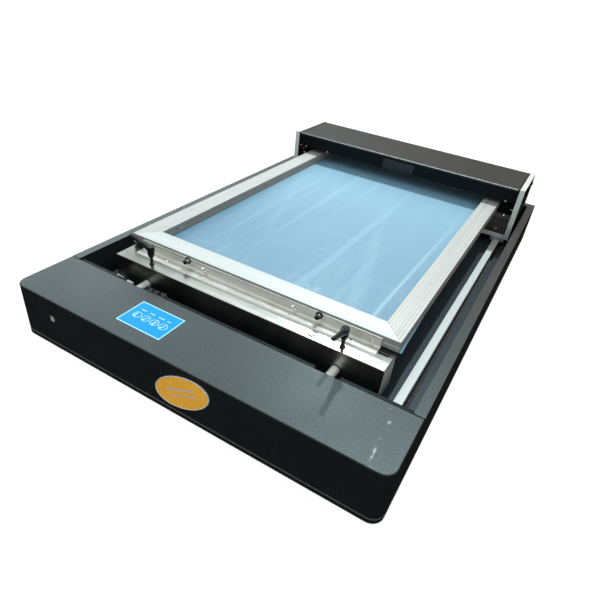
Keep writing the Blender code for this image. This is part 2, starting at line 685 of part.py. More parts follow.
def bar_profile():
    """Section of the frame extrusion: ribs along the top, a groove in both flanks."""
    low, high, width = FRAME_TOP - BAR_HEIGHT, FRAME_TOP, BAR_WIDTH
    flank = [(0.0, low), (0.0, low + 5.2), (0.8, low + 6.0), (0.8, low + 7.6), (0.0, low + 8.4),
             (0.0, high - 0.4), (0.4, high)]
    points = [(width - x, z) for x, z in flank]
    grooves = 6
    pitch = width / (grooves + 1)
    floor = high - 0.14
    for index in range(grooves, 0, -1):
        middle = index * pitch
        points += [(middle + 0.9, high), (middle + 0.4, floor), (middle - 0.4, floor),
                   (middle - 0.9, high)]
    return points + list(reversed(flank))


def make_frame_bar(name, start, along, inward, length):
    """Mitred bar: start is its outer corner, along its direction and inward its side of the opening."""
    bm = bmesh.new()
    ends = []
    for end in (0, 1):
        ring = []
        for across, height in bar_profile():
            distance = across + GAP / 2 if end == 0 else length - across - GAP / 2
            point = Vector(start) + Vector(along) * distance + Vector(inward) * across
            ring.append(bm.verts.new((point.x, point.y, height)))
        ends.append(ring)
    bm.faces.new(ends[0])
    bm.faces.new(list(reversed(ends[1])))
    bridge(bm, *ends)
    return finish(name, bm, FRAME_ALUMINIUM)


def make_screen_frame():
    left, right = -FRAME_HALF, FRAME_HALF
    front, rear = FRAME_FRONT, FRAME_FRONT + FRAME_LENGTH
    width, length = right - left, rear - front
    bar = make_frame_bar("frame_front_bar", (left, front, 0), (1, 0, 0), (0, 1, 0), width)
    cut(bar, [prism(f"screw_bore_{side}", circle((sign * SCREW_X, SCREW_Z), SCREW_RADIUS + GAP, 20),
                    "y", front - 5.0, front + 9.0) for side, sign in sides()])
    make_frame_bar("frame_rear_bar", (right, rear, 0), (-1, 0, 0), (0, -1, 0), width)
    make_frame_bar("frame_left_bar", (left, rear, 0), (0, -1, 0), (1, 0, 0), length)
    make_frame_bar("frame_right_bar", (right, front, 0), (0, 1, 0), (-1, 0, 0), length)
    top = FRAME_TOP - BAR_HEIGHT - GAP
    box("mesh_sheet", (left - 1.0, right + 3.0), (front - 0.1, rear + 1.0),
        (top - MESH_THICKNESS, top), BLUE_FILM)


def make_clamp_screws():
    """Black-headed screws that pull the frame against the upright."""
    radius = SCREW_RADIUS
    profile = [(2.6, 0.0), (3.4, 0.6), (3.4, 6.0), (radius, 6.4), (radius, 17.4),
               (radius - 0.6, 18.2)]
    for side, sign in sides():
        place = (sign * SCREW_X, UPRIGHT_Y[0] - 8.0, SCREW_Z)
        shade(turned(f"clamp_screw_{side}", profile, place, BLACK_PLASTIC, 20, "y"))


def make_handle(place, angle):
    """Lever handle: oval sections that rise outwards from the hub."""
    forward = Vector((math.cos(angle), math.sin(angle), 0.0))
    across = Vector((-math.sin(angle), math.cos(angle), 0.0))
    sections = ((0.0, 24.2, 4.8, 4.4), (8.0, 26.2, 3.9, 3.8), (16.0, 28.6, 3.2, 3.2),
                (34.0, 34.0, 3.1, 2.9), (37.0, 34.9, 2.3, 2.1))
    bm = bmesh.new()
    rings = []
    for reach, height, half_width, half_height in sections:
        centre = Vector(place) + forward * reach + Vector((0.0, 0.0, height))
        rings.append([bm.verts.new(centre + across * half_width * a + Vector((0.0, 0.0, half_height * b)))
                      for a, b in circle((0.0, 0.0), 1.0, 12)])
    bm.faces.new(list(reversed(rings[0])))
    bm.faces.new(rings[-1])
    for lower, upper in zip(rings, rings[1:]):
        bridge(bm, lower, upper)
    return finish("lever_handle", bm, BLACK_PLASTIC, place)


def make_levers():
    """Clamping levers: a stud, a tapered hub and a handle that rises from it."""
    handle_angle = {"left": math.radians(-178.0), "right": math.radians(-89.0)}
    profile = [(STUD_RADIUS, -14.0), (STUD_RADIUS, 0.0), (3.8, 0.0), (3.8, 1.0), (2.4, 2.0), (2.4, 11.4),
               (3.8, 11.8), (4.1, 14.6), (5.0, 16.0), (5.6, 26.0), (5.3, 28.6), (3.0, 29.2)]
    for side, sign in sides():
        place = (sign * SHAFT_X, LEVER_Y, BEAM_Z[1] + GAP)
        lever = turned(f"clamp_lever_{side}", profile, place, BLACK_PLASTIC)
        shade(unite(lever, [make_handle(place, handle_angle[side])]))


# Assembly -----------------------------------------------------------------------------------------
def attach(parent_name, child_names):
    """Parents the children and keeps them where they are."""
    parent = bpy.data.objects[parent_name]
    for name in child_names:
        child = bpy.data.objects[name]
        child.parent = parent
        child.matrix_parent_inverse = parent.matrix_world.inverted()


def both(*stems):
    return [f"{stem}_{side}" for stem in stems for side in ("left", "right")]


def main():
    for old in list(bpy.data.objects):
        bpy.data.objects.remove(old)
    for make in (make_base_plate, make_feet, make_front_cover, make_side_walls, make_rear_wall,
                 make_inner_panel, make_deck, make_rails, make_touch_screen, make_control_board,
                 make_badge, make_usb_socket, make_power_inlet, make_rocker, make_limit_switch,
                 make_guide_shafts, make_drive, make_end_plates, make_lower_plate, make_housing,
                 make_carriages, make_belt_clamps, make_solenoids, make_thermal_head, make_clamp_beam,
                 make_bushes, make_bracket, make_screen_frame, make_clamp_screws, make_levers):
        make()
    bpy.context.view_layer.update()
    attach("gantry_lower_plate", both("gantry_end", "carriage", "belt_clamp", "lift_solenoid")
           + ["gantry_top_cover", "gantry_front_panel", "gantry_rear_panel", "gantry_cross_beam",
              "thermal_head"])
    attach("clamp_beam", both("beam_bush", "clamp_screw", "clamp_lever")
           + ["clamp_bracket", "frame_front_bar", "frame_rear_bar", "frame_left_bar",
              "frame_right_bar", "mesh_sheet"])
    attach("drive_shaft", both("drive_pulley"))
    attach("power_inlet", ["power_switch"])
    moving = {"gantry_lower_plate", "clamp_beam", "drive_shaft", "power_inlet", "base_plate"}
    rest = [item.name for item in bpy.data.objects if item.parent is None and item.name not in moving]
    attach("base_plate", rest + ["gantry_lower_plate", "clamp_beam", "drive_shaft", "power_inlet"])


main()
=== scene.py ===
import json
import math
import random

import bmesh
import bpy
from mathutils import Matrix, Vector


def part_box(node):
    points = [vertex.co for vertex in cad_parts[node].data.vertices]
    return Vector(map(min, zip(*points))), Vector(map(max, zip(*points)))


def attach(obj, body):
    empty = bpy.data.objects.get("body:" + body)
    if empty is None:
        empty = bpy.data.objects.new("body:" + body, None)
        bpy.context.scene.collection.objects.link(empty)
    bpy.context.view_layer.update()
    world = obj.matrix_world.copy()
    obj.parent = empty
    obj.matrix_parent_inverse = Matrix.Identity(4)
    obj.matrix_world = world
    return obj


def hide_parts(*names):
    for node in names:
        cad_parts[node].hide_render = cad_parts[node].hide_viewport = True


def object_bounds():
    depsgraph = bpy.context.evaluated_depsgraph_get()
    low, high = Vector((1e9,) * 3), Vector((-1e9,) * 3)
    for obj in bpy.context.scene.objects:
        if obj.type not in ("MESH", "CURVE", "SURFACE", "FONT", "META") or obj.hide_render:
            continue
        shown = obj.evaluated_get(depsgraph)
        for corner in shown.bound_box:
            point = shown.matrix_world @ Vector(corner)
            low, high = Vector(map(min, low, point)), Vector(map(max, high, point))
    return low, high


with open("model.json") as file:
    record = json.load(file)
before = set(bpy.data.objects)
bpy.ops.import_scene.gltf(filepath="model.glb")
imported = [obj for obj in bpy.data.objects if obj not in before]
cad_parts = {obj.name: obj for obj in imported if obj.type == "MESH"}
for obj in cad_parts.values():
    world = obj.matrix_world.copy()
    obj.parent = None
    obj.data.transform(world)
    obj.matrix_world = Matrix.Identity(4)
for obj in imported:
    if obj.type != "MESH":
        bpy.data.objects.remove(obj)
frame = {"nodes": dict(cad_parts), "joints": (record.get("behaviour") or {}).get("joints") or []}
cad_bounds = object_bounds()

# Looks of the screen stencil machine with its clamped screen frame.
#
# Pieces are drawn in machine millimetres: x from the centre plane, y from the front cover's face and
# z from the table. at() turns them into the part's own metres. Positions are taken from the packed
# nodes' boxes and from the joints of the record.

MM = 0.001
WAVE_LENGTH = 0.314  # distance between the bands of a wave texture of scale 1
MIX_A, MIX_B, MIX_RESULT = 6, 7, 2  # colour sockets of the mix node
FRONT_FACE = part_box("front_cover")[0].y
UP = Vector((0, 0, 1))
FORWARD, BACKWARD = Vector((0, -1, 0)), Vector((0, 1, 0))
SIDES = (("left", -1), ("right", 1))


def at(x, y, z):
    """Point in metres from machine millimetres."""
    return Vector((x * MM, FRONT_FACE + y * MM, z * MM))


def machine(point):
    """Machine millimetres from a point in metres."""
    return Vector((point[0] / MM, (point[1] - FRONT_FACE) / MM, point[2] / MM))


def limits(node):
    """Lowest and highest corner of a CAD node, in machine millimetres."""
    return tuple(machine(corner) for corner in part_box(node))


def pivot(joint):
    """Where a joint turns, in machine millimetres."""
    return next(machine(j["pos_m"]) for j in frame["joints"] if j["name"] == joint)


def add_object(name, data):
    """Puts a mesh, a light or a camera into the scene."""
    made = bpy.data.objects.new(name, data)
    bpy.context.scene.collection.objects.link(made)
    return made


def new_node(tree, kind, inputs, settings):
    """Adds a shader node. An input is a constant, or another node's output to link."""
    made = tree.nodes.new(kind)
    for key, value in settings.items():
        setattr(made, key, value)
    for key, value in inputs.items():
        if isinstance(value, bpy.types.NodeSocket):
            tree.links.new(value, made.inputs[key])
        else:
            made.inputs[key].default_value = value
    return made


def rgba(colour):
    """Adds the alpha to a plain colour, and leaves a socket as it is."""
    return (*colour, 1) if isinstance(colour, tuple) else colour


def scaled_colour(colour, factor, most=1.0):
    return tuple(min(most, channel * factor) for channel in colour)


# Material building --------------------------------------------------------------------------------
class Look:
    """One procedural material. Patterns use the part's own metres, so grain keeps its real size."""

    def __init__(self, name, colour, roughness, metallic=0.0, ior=1.5):
        self.material = bpy.data.materials.new(name)
        self.material.use_nodes = True
        self.material.diffuse_color = (*colour, 1)
        self.tree = self.material.node_tree
        self.shader = self.tree.nodes["Principled BSDF"]
        self.coords = self.tree.nodes.new("ShaderNodeTexCoord")
        self.place = self.coords.outputs["Object"]
        self.colour = (*colour, 1)
        self.normal = None
        self.set("Base Color", self.colour)
        self.set("Roughness", roughness)
        self.set("Metallic", metallic)
        self.set("IOR", ior)

    def set(self, socket, value):
        """A constant goes on the shader itself, a pattern is linked to it."""
        if isinstance(value, bpy.types.NodeSocket):
            self.tree.links.new(value, self.shader.inputs[socket])
        else:
            self.shader.inputs[socket].default_value = value

    def node(self, kind, inputs, **settings):
        return new_node(self.tree, kind, inputs, settings)

    def scaled(self, scale, turn=0.0):
        """Coordinates with that many cells per metre on each axis, turned about Z first."""
        turned = self.turned(self.place, turn) if turn else self.place
        size = scale if isinstance(scale, tuple) else (scale,) * 3
        return self.vector("MULTIPLY", turned, size)

    def turned(self, place, degrees):
        return self.node("ShaderNodeVectorRotate", {"Vector": place, "Angle": math.radians(degrees)},
                         rotation_type="Z_AXIS").outputs[0]

    def vector(self, operation, a, b):
        return self.node("ShaderNodeVectorMath", {0: a, 1: b}, operation=operation).outputs[0]

    def noise(self, scale, detail=2.0, rough=0.5, bend=0.0, turn=0.0):
        return self.node("ShaderNodeTexNoise", {"Vector": self.scaled(scale, turn), "Scale": 1.0,
                                                "Detail": detail, "Roughness": rough,
                                                "Distortion": bend}).outputs["Fac"]

    def cells(self, scale, feature="F1", turn=0.0):
        return self.node("ShaderNodeTexVoronoi", {"Vector": self.scaled(scale, turn), "Scale": 1.0},
                         feature=feature).outputs["Distance"]

    def waves(self, axis, pitch_mm, turn=0.0):
        """Even bands across one axis, from 0 to 1."""
        return self.node("ShaderNodeTexWave", {"Vector": self.scaled(1.0, turn),
                                               "Scale": WAVE_LENGTH / (pitch_mm * MM)},
                         bands_direction=axis).outputs["Fac"]

    def range(self, value, low=0.3, high=0.7, out_low=0.0, out_high=1.0):
        """Soft step. A noise spreads from about 0.3 to 0.7."""
        return self.node("ShaderNodeMapRange", {0: value, 1: low, 2: high, 3: out_low, 4: out_high},
                         interpolation_type="SMOOTHSTEP").outputs[0]

    def cloud(self, fade, *grain):
        """Noise of that scale, detail, roughness, distortion and turn, faded by range()."""
        return self.range(self.noise(*grain), *fade)

    def math(self, operation, a, b=0.0):
        return self.node("ShaderNodeMath", {0: a, 1: b}, operation=operation).outputs[0]

    def times(self, a, b):
        return self.math("MULTIPLY", a, b)

    def axis(self, name, source=None):
        split = self.node("ShaderNodeSeparateXYZ", {0: source or self.place})
        return split.outputs["XYZ".index(name)]

    def facing(self, name):
        """How far the surface faces along one axis, from -1 to 1, before the piece moves."""
        return self.axis(name, self.coords.outputs["Normal"])

    def along(self, name, start, end, out_low=0.0, out_high=1.0):
        """Fades along an axis from one machine position to another, in millimetres."""
        ends = [at(place, place, place)["XYZ".index(name)] for place in (start, end)]
        return self.range(self.axis(name), *ends, out_low, out_high)

    def blend(self, factor, a, b):
        inputs = {0: factor, MIX_A: rgba(a), MIX_B: rgba(b)}
        return self.node("ShaderNodeMix", inputs, data_type="RGBA").outputs[MIX_RESULT]

    def over(self, under, mask, share, colour):
        """Lays a colour over another one where a mask says, at most by a share."""
        return self.blend(self.times(mask, share), under, colour)

    def spot(self, centre, radii, turn=0.0, soft=0.4):
        """1 inside an upright elliptic column at a place in machine millimetres, 0 outside."""
        turned = self.turned(self.vector("SUBTRACT", self.place, at(*centre)), turn)
        shrunk = self.vector("MULTIPLY", turned, tuple(1 / (r * MM) for r in radii))
        far = self.node("ShaderNodeVectorMath", {0: shrunk}, operation="LENGTH").outputs["Value"]
        return self.range(far, 1.0 - soft, 1.0, 1.0, 0.0)

    def bump(self, height, distance_mm, strength=1.0):
        inputs = {"Height": height, "Distance": distance_mm * MM, "Strength": strength}
        if self.normal:
            inputs["Normal"] = self.normal
        self.normal = self.node("ShaderNodeBump", inputs).outputs[0]
        self.set("Normal", self.normal)

    def mottle(self, amount, scale, detail=3.0):
        """Varies the colour by a share of itself."""
        ends = [scaled_colour(self.colour[:3], factor) for factor in (1 - amount, 1 + amount)]
        return self.blend(self.cloud((), scale, detail), *ends)

    def roughen(self, low, high, *grain):
        """Roughness that varies between two values, over a noise of that scale and detail."""
        self.set("Roughness", self.cloud((0.3, 0.7, low, high), *grain))

    def glow(self, colour, strength):
        self.set("Emission Color", colour)
        self.set("Emission Strength", strength)


COOL_SHEEN, WARM_SHEEN = (0.80, 0.97, 1.0), (1.0, 0.86, 0.74)
# The second colour is a painted highlight for the top edge of a lip.
SCUFF, LIP_HIGHLIGHT = (0.62, 0.70, 0.72), (0.16, 0.165, 0.16)


def paint(name, colour, roughness=0.5, ior=1.5, marks=(), sheen=COOL_SHEEN, inward=0, highlight_top=None):
    """Fine-textured powder coat with faint smudges, and scuff marks where they are asked for.

    A wall gives its inward direction along X: its inner face gets less shine, as painted shade, and
    the right wall's sheen turns warm towards the rear, as a painted reflection. A lip gives the height
    of its top edge, which is painted lighter there as a painted highlight.
    """
    look = Look(name, colour, roughness, ior=ior)
    look.set("Specular Tint", (*sheen, 1))
    shine = look.cloud((0.3, 0.7, 0.40, 0.60), 520.0, 2.0, 0.6)
    # Painted shade: a wall's inner face gets less shine, as it lies in shade inside the casing.
    if inward:
        inner = look.range(look.times(look.facing("X"), inward), 0.4, 0.8)
        shine = look.times(shine, look.range(inner, 0.0, 1.0, 1.0, 0.2))
    look.set("Specular IOR Level", shine)
    # Painted reflection: on the right wall the sheen turns warm towards the rear.
    if inward < 0:
        look.set("Specular Tint", look.blend(look.along("Y", 120, 620), sheen, WARM_SHEEN))
    skin = look.mottle(0.10, 14.0)
    skin = look.blend(look.cloud((0.45, 0.62, 0.0, 0.35), 700.0, 2.0), skin, scaled_colour(colour, 1.6))
    hair = look.cells((14.0, 260.0, 14.0), turn=37.0)
    scratch = look.times(look.range(hair, 0.0, 0.035, 1.0, 0.0), look.cloud((0.56, 0.66), 11.0, 1.0))
    skin = look.over(skin, scratch, 0.25, scaled_colour(colour, 7, 0.2))
    for centre, radii, turn, strength in marks:
        ragged = look.cloud((0.44, 0.58), (260.0, 160.0, 200.0), 3.0, 0.7)
        mark = look.times(look.spot(centre, radii, turn, 0.7), ragged)
        skin = look.over(skin, mark, strength, SCUFF)
    # Painted highlight: a lip's top edge is painted lighter, where its edge catches light.
    if highlight_top is not None:
        lip_highlight = look.range(look.axis("Z"), highlight_top - 1.3 * MM, highlight_top - 0.5 * MM, 0.0, 0.8)
        skin = look.blend(lip_highlight, skin, LIP_HIGHLIGHT)
    look.set("Base Color", skin)
    look.roughen(roughness - 0.022, roughness + 0.022, 16.0, 3.0, 0.6)
    look.bump(look.noise(1100.0, 2.0, 0.6), 0.05, 0.35)
    look.bump(look.noise(120.0, 2.0), 0.08, 0.08)
    return look.material


def brushed(name, colour, roughness, axis, grain=1.0, stain=0.0, metallic=1.0, pits=0.0, turn=0.0,
            ribs=None):
    """Metal brushed or drawn along one axis, with stains, pits and painted shade in rib valleys, as asked
    for.
    """
    look = Look(name, colour, roughness, metallic)
    along, across = 6.0, 900.0
    scale = tuple(along if letter == axis else across for letter in "XYZ")
    lines = look.noise(scale, 3.0, 0.65, turn=turn)
    broad = look.noise(tuple(s / 7 for s in scale), 2.0, 0.5, turn=turn)
    dark, light = scaled_colour(colour, 1 - 0.22 * grain), scaled_colour(colour, 1 + 0.14 * grain)
    skin = look.blend(look.range(lines), dark, light)
    skin = look.blend(look.range(broad, 0.35, 0.65, 0.0, 0.3 * grain), skin, light)
    if stain:
        cloud = look.noise((17.0, 40.0, 60.0), 5.0, 0.62, 0.8)
        skin = look.blend(look.range(cloud, 0.5, 0.72, 0.0, stain), skin,
                          tuple(c * k for c, k in zip(colour, (0.45, 0.44, 0.40))))
        warm = look.noise((9.0, 22.0, 30.0), 3.0)
        skin = look.blend(look.range(warm, 0.52, 0.7, 0.0, stain * 0.6), skin,
                          tuple(c * k for c, k in zip(colour, (1.02, 0.95, 0.78))))
    if pits:
        speck = look.times(look.range(look.cells(210.0), 0.06, 0.13, 1.0, 0.0),
                          look.cloud((0.48, 0.62), 40.0, 2.0))
        skin = look.over(skin, speck, pits, scaled_colour(colour, 0.4))
    if ribs:
        across_axis, middle, half = ribs
        offset = look.math("SUBTRACT", look.axis(across_axis), middle)
        inward = look.math("SUBTRACT", half, look.math("ABSOLUTE", offset))
        # Painted shade: darker rib valleys across the bar.
        rib_valley_shade = look.range(look.math("PINGPONG", inward, RIB_PITCH / 2), 0.0, RIB_PITCH * 0.22, 1.0, 0.0)
        skin = look.over(skin, rib_valley_shade, 0.42, scaled_colour(colour, 0.5))
    look.set("Base Color", skin)
    look.set("Roughness", look.range(broad, 0.3, 0.7, roughness - 0.06, roughness + 0.07))
    look.bump(lines, 0.02, 0.25 * grain)
    return look.material


def moulded(name, colour, roughness=0.42, grain=900.0, ior=1.5):
    """Moulded plastic or rubber with a fine grain and worn high spots."""
    look = Look(name, colour, roughness, ior=ior)
    skin = look.blend(look.cloud((0.45, 0.7, 0.0, 0.5), 60.0, 3.0), look.colour[:3],
                      tuple(c * 1.7 + 0.002 for c in colour))
    look.set("Base Color", skin)
    look.roughen(roughness - 0.07, roughness + 0.08, 90.0)
    look.bump(look.noise(grain, 2.0, 0.6), 0.06, 0.3)
    return look.material


def beam_steel():
    """Folded stainless sheet: its front is polished, its top is dulled by use, and its left end is painted
    darker as painted shade.
    """
    look = Look("looks_beam_steel", (0.52, 0.515, 0.48), 0.28, 1.0)
    lines = look.noise((7.0, 500.0, 500.0), 3.0, 0.6)
    skin = look.blend(look.range(lines), (0.34, 0.34, 0.325), (0.44, 0.44, 0.42))
    cloud = look.cloud((0.52, 0.74), (20.0, 45.0, 30.0), 5.0, 0.62, 0.7)
    # Painted shade: the beam darkens towards its left end, away from the lamp's highlight at the right.
    left = look.along("X", -215, 40, 1.0, 0.0)
    skin = look.blend(left, skin, (0.115, 0.115, 0.100))
    skin = look.over(skin, cloud, 0.4, (0.22, 0.215, 0.19))
    look.set("Base Color", skin)
    smear = look.cloud((0.3, 0.7, 0.28, 0.35), (24.0, 24.0, 12.0), 3.0)
    dulled = look.cloud((0.3, 0.7, 0.24, 0.34), (30.0, 60.0, 30.0), 3.0)
    look.set("Roughness", look.blend(look.range(look.facing("Z"), 0.4, 0.8), smear, dulled))
    look.bump(lines, 0.015, 0.2)
    return look.material


def bracket_steel():
    """Duller stainless of the clamping bracket, mottled and finger-marked."""
    look = Look("looks_bracket_steel", (0.60, 0.60, 0.56), 0.3, 0.7)
    lines = look.noise((5.0, 420.0, 420.0), 3.0, 0.6)
    skin = look.blend(look.range(lines), (0.58, 0.585, 0.55), (0.72, 0.73, 0.69))
    cloud = look.cloud((0.5, 0.7), (26.0, 60.0, 80.0), 5.0, 0.65, 1.2)
    skin = look.over(skin, cloud, 0.38, (0.33, 0.33, 0.29))
    warm = look.cloud((0.5, 0.68), (8.0, 20.0, 24.0), 2.0)
    skin = look.over(skin, warm, 0.35, (0.66, 0.60, 0.46))
    look.set("Base Color", skin)
    look.roughen(0.30, 0.42, (40.0, 90.0, 90.0), 3.0)
    look.bump(look.noise((60.0, 120.0, 120.0), 3.0), 0.05, 0.25)
    look.bump(lines, 0.015, 0.2)
    return look.material


def turned_steel():
    """Ground shaft with rings left by turning and a few longer marks."""
    look = Look("looks_shaft_steel", (0.80, 0.79, 0.75), 0.2, 0.45)
    rings = look.waves("Y", 1.1, turn=4.0)
    fine = look.noise((260.0, 1500.0, 260.0), 2.0)
    long_marks = look.noise((900.0, 9.0, 900.0), 2.0)
    skin = look.blend(look.range(rings, 0.3, 0.9, 0.0, 0.35), (0.97, 0.97, 0.93), (0.86, 0.86, 0.81))
    skin = look.blend(look.range(long_marks, 0.55, 0.7, 0.0, 0.4), skin, (0.55, 0.55, 0.51))
    look.set("Base Color", skin)
    look.set("Roughness", look.range(fine, 0.3, 0.7, 0.2, 0.32))
    look.bump(rings, 0.015, 0.15)
    return look.material


def plate_metal(name, broad):
    """Aluminium plate: bare sawn edges, black anodised broad faces across one axis. Upright bare faces are
    tinted bluish as a painted reflection of the film and sky.
    """
    look = Look(name, (0.70, 0.69, 0.65), 0.42)
    look.set("IOR", 1.3)
    side = look.math("ABSOLUTE", look.facing(broad))
    face = look.range(side, 0.55, 0.75)
    lines = look.noise((900.0, 14.0, 14.0), 3.0)
    cream = look.blend(look.range(lines), (0.56, 0.54, 0.49), (0.68, 0.66, 0.60))
    # Painted reflection: upright bare faces take a bluish tint, top faces keep a cream tone.
    upright_reflection = look.blend(look.range(lines), (0.72, 0.80, 0.80), (0.82, 0.90, 0.90))
    bare = look.blend(look.range(look.facing("Z"), 0.4, 0.8), upright_reflection, cream)
    black = look.blend(look.cloud((0.4, 0.7), 60.0, 3.0), (0.007, 0.006, 0.006), (0.012, 0.010, 0.010))
    look.set("Base Color", look.blend(face, bare, black))
    look.set("Metallic", look.range(face, 0.0, 1.0, 0.3, 0.0))
    look.roughen(0.38, 0.5, 40.0, 3.0)
    look.bump(lines, 0.02, 0.25)
    return look.material


# scale, bend, turn, where it starts and is full, share and colour of each set of streaks
FILM_STREAKS = (((34.0, 1.1, 1.0), 0.25, 0.0, 0.52, 0.74, 0.26, (0.31, 0.50, 0.62)),
                ((22.0, 1.6, 1.0), 0.2, -17.0, 0.54, 0.76, 0.16, (0.30, 0.49, 0.61)),
                ((3.0, 30.0, 1.0), 0.4, 0.0, 0.56, 0.74, 0.16, (0.29, 0.44, 0.58)))
# x, y, half length, half width and pitch of the rows of small printed marks
PRINTED_ROWS = ((54.0, 682.0, 44.0, 1.3, 5.2), (30.0, 706.0, 60.0, 1.6, 6.4),
                (79.0, 568.0, 23.0, 2.4, 3.4), (-92.0, 570.0, 14.0, 2.2, 3.0))
# x, y, radii, turn and strength of the finger smears
SMEARS = ((-62.0, 262.0, 16.0, 2.4, -12.0, 0.45), (62.0, 222.0, 34.0, 9.0, -8.0, 0.5),
          (-10.0, 214.0, 20.0, 4.0, -4.0, 0.35), (-96.0, 276.0, 20.0, 2.0, -16.0, 0.4),
          (20.0, 330.0, 16.0, 10.0, 0.0, 0.25))
TALL = 400.0


def film_blue(look):
    """Colour of the tinted film, painted paler towards the rear as painted light, and streaked by stretching.
    """
    base = look.blend(look.cloud((), (5.0, 3.0, 1.0), 3.0, 0.55),
                      (0.104, 0.220, 0.316), (0.121, 0.247, 0.347))
    # Painted light: the film is paler towards the rear, where more light falls on it.
    base = look.blend(look.along("Y", 230, 640), base, (0.168, 0.318, 0.424))
    for scale, bend, turn, start, full, share, colour in FILM_STREAKS:
        streak = look.cloud((start, full), scale, 3.0, 0.6, bend, turn)
        base = look.over(base, streak, share, colour)
    return base


def printed_marks(look, base):
    """Registration ring at the front left corner, and rows of small marks."""
    film_low, film_high = limits("mesh_sheet")
    level = film_high.z
    centre = (limits("frame_left_bar")[1].x + 51.7, film_low.y + 96.8, level)
    outer, inner = [look.spot(centre, (radius, radius, TALL), soft=0.12) for radius in (5.8, 5.0)]
    base = look.over(base, look.math("SUBTRACT", outer, inner), 0.55, (0.26, 0.30, 0.46))
    for x, y, half_x, half_y, pitch in PRINTED_ROWS:
        row = look.spot((x, y, level), (half_x, half_y, TALL), soft=0.3)
        dots = look.range(look.waves("X", pitch, turn=24.0), 0.62, 0.8)
        base = look.over(base, look.times(row, dots), 0.3, (0.13, 0.27, 0.40))
    return base


def film_wear_and_shade(look, base):
    """Fold beside the right bar, finger smears, and painted shade under the gantry, combed into streaks."""
    inner_edge = limits("frame_right_bar")[0].x
    ends = [at(inner_edge - inset, 0, 0).x for inset in (26.0, 17.0)]
    slanted = look.range(look.axis("Y"), at(0, 190, 0).y, at(0, 660, 0).y, *ends)
    off_fold = look.math("ABSOLUTE", look.math("SUBTRACT", look.axis("X"), slanted))
    fold = look.times(look.range(off_fold, 0.0004, 0.0046, 1.0, 0.0), look.along("Y", 660, 250))
    base = look.over(base, fold, 0.36, (0.40, 0.58, 0.68))
    level = limits("mesh_sheet")[1].z
    for x, y, rx, ry, turn, amount in SMEARS:
        ragged = look.cloud((0.5, 0.66), (70.0, 200.0, 1.0), 4.0, 0.7, 1.0)
        smear = look.times(look.spot((x, y, level), (rx, ry, TALL), turn, 0.8), ragged)
        base = look.over(base, smear, amount, (0.55, 0.72, 0.80))
    # Painted shade: a combed dark band on the film under the gantry's front.
    comb_shade = look.cloud((0.35, 0.65), (120.0, 2.0, 1.0), 2.0)
    return look.over(base, look.times(look.along("Y", 676, 700), comb_shade), 0.4, (0.13, 0.30, 0.45))


def stencil_film():
    """Tinted stencil film with its weave, stretch streaks, printed marks, wear, and painted light and shade.
    """
    look = Look("looks_stencil_film", (0.14, 0.285, 0.395), 0.52)
    look.set("Base Color", film_wear_and_shade(look, printed_marks(look, film_blue(look))))
    look.roughen(0.46, 0.58, (30.0, 4.0, 1.0), 2.0)
    look.bump(look.times(look.waves("X", 0.8), look.waves("Y", 0.8)), 0.03, 0.3)
    look.bump(look.noise((40.0, 2.0, 1.0), 2.0), 0.12, 0.2)
    return look.material


def display_glass():
    """Lit display under glass: an even blue field with its fine pixel grid."""
    look = Look("looks_display", (0.004, 0.03, 0.06), 0.22, ior=1.14)
    grid = look.math("MAXIMUM", look.waves("X", 0.36), look.waves("Y", 0.36))
    field = look.blend(look.range(grid, 0.9, 1.0, 0.0, 0.14), (0.008, 0.44, 1.0), (0.004, 0.34, 0.84))
    field = look.blend(look.cloud((0.35, 0.65, 0.0, 0.12), (18.0, 12.0, 4.0)), field, (0.02, 0.50, 1.0))
    side = look.range(look.facing("Z"), 0.6, 0.9)
    look.glow(look.blend(side, (0.0, 0.02, 0.05), field), 0.88)
    look.set("Roughness", look.cloud((0.35, 0.7, 0.12, 0.22), 50.0, 3.0))
    look.bump(look.noise(300.0), 0.01, 0.1)
    return look.material


def glowing(name, colour, strength):
    """Lit lines and figures of the display."""
    look = Look(name, scaled_colour(colour, 0.3), 0.3)
    grain = look.blend(look.cloud((0.4, 0.6), 1800.0, 1.0), scaled_colour(colour, 0.93), colour)
    look.glow(grain, strength)
    return look.material


def glowing_gold_field():
    """Satin gold print of the name plate, made to glow as painted light."""
    look = Look("looks_gold_print_glowing", (0.50, 0.262, 0.030), 0.45, 0.15)
    skin = look.blend(look.cloud((0.35, 0.65), 900.0, 2.0), (0.44, 0.222, 0.022), (0.60, 0.330, 0.045))
    skin = look.blend(look.cloud((0.35, 0.65, 0.0, 0.35), 24.0, 2.0), skin, (0.42, 0.20, 0.02))
    look.set("Base Color", skin)
    # Painted light: the gold print glows, though it is no lamp.
    look.glow(skin, 0.76)
    look.roughen(0.38, 0.52, 70.0)
    look.bump(look.noise(1500.0, 1.0), 0.02, 0.3)
    return look.material


def enamel(name, colour, roughness=0.35):
    """Opaque white or coloured print with slight unevenness."""
    look = Look(name, colour, roughness)
    look.set("Base Color", look.mottle(0.05, 220.0))
    look.roughen(roughness - 0.05, roughness + 0.08, 90.0)
    look.bump(look.noise(1000.0), 0.02, 0.2)
    return look.material


def circuit_green():
    """Circuit board: solder mask over copper tracks."""
    look = Look("looks_circuit", (0.015, 0.13, 0.06), 0.35)
    tracks = look.range(look.cells((160.0, 420.0, 200.0), "DISTANCE_TO_EDGE"), 0.02, 0.06)
    look.set("Base Color", look.blend(tracks, (0.05, 0.22, 0.08), (0.012, 0.10, 0.05)))
    look.roughen(0.28, 0.45, 120.0)
    look.bump(tracks, 0.04, 0.4)
    return look.material


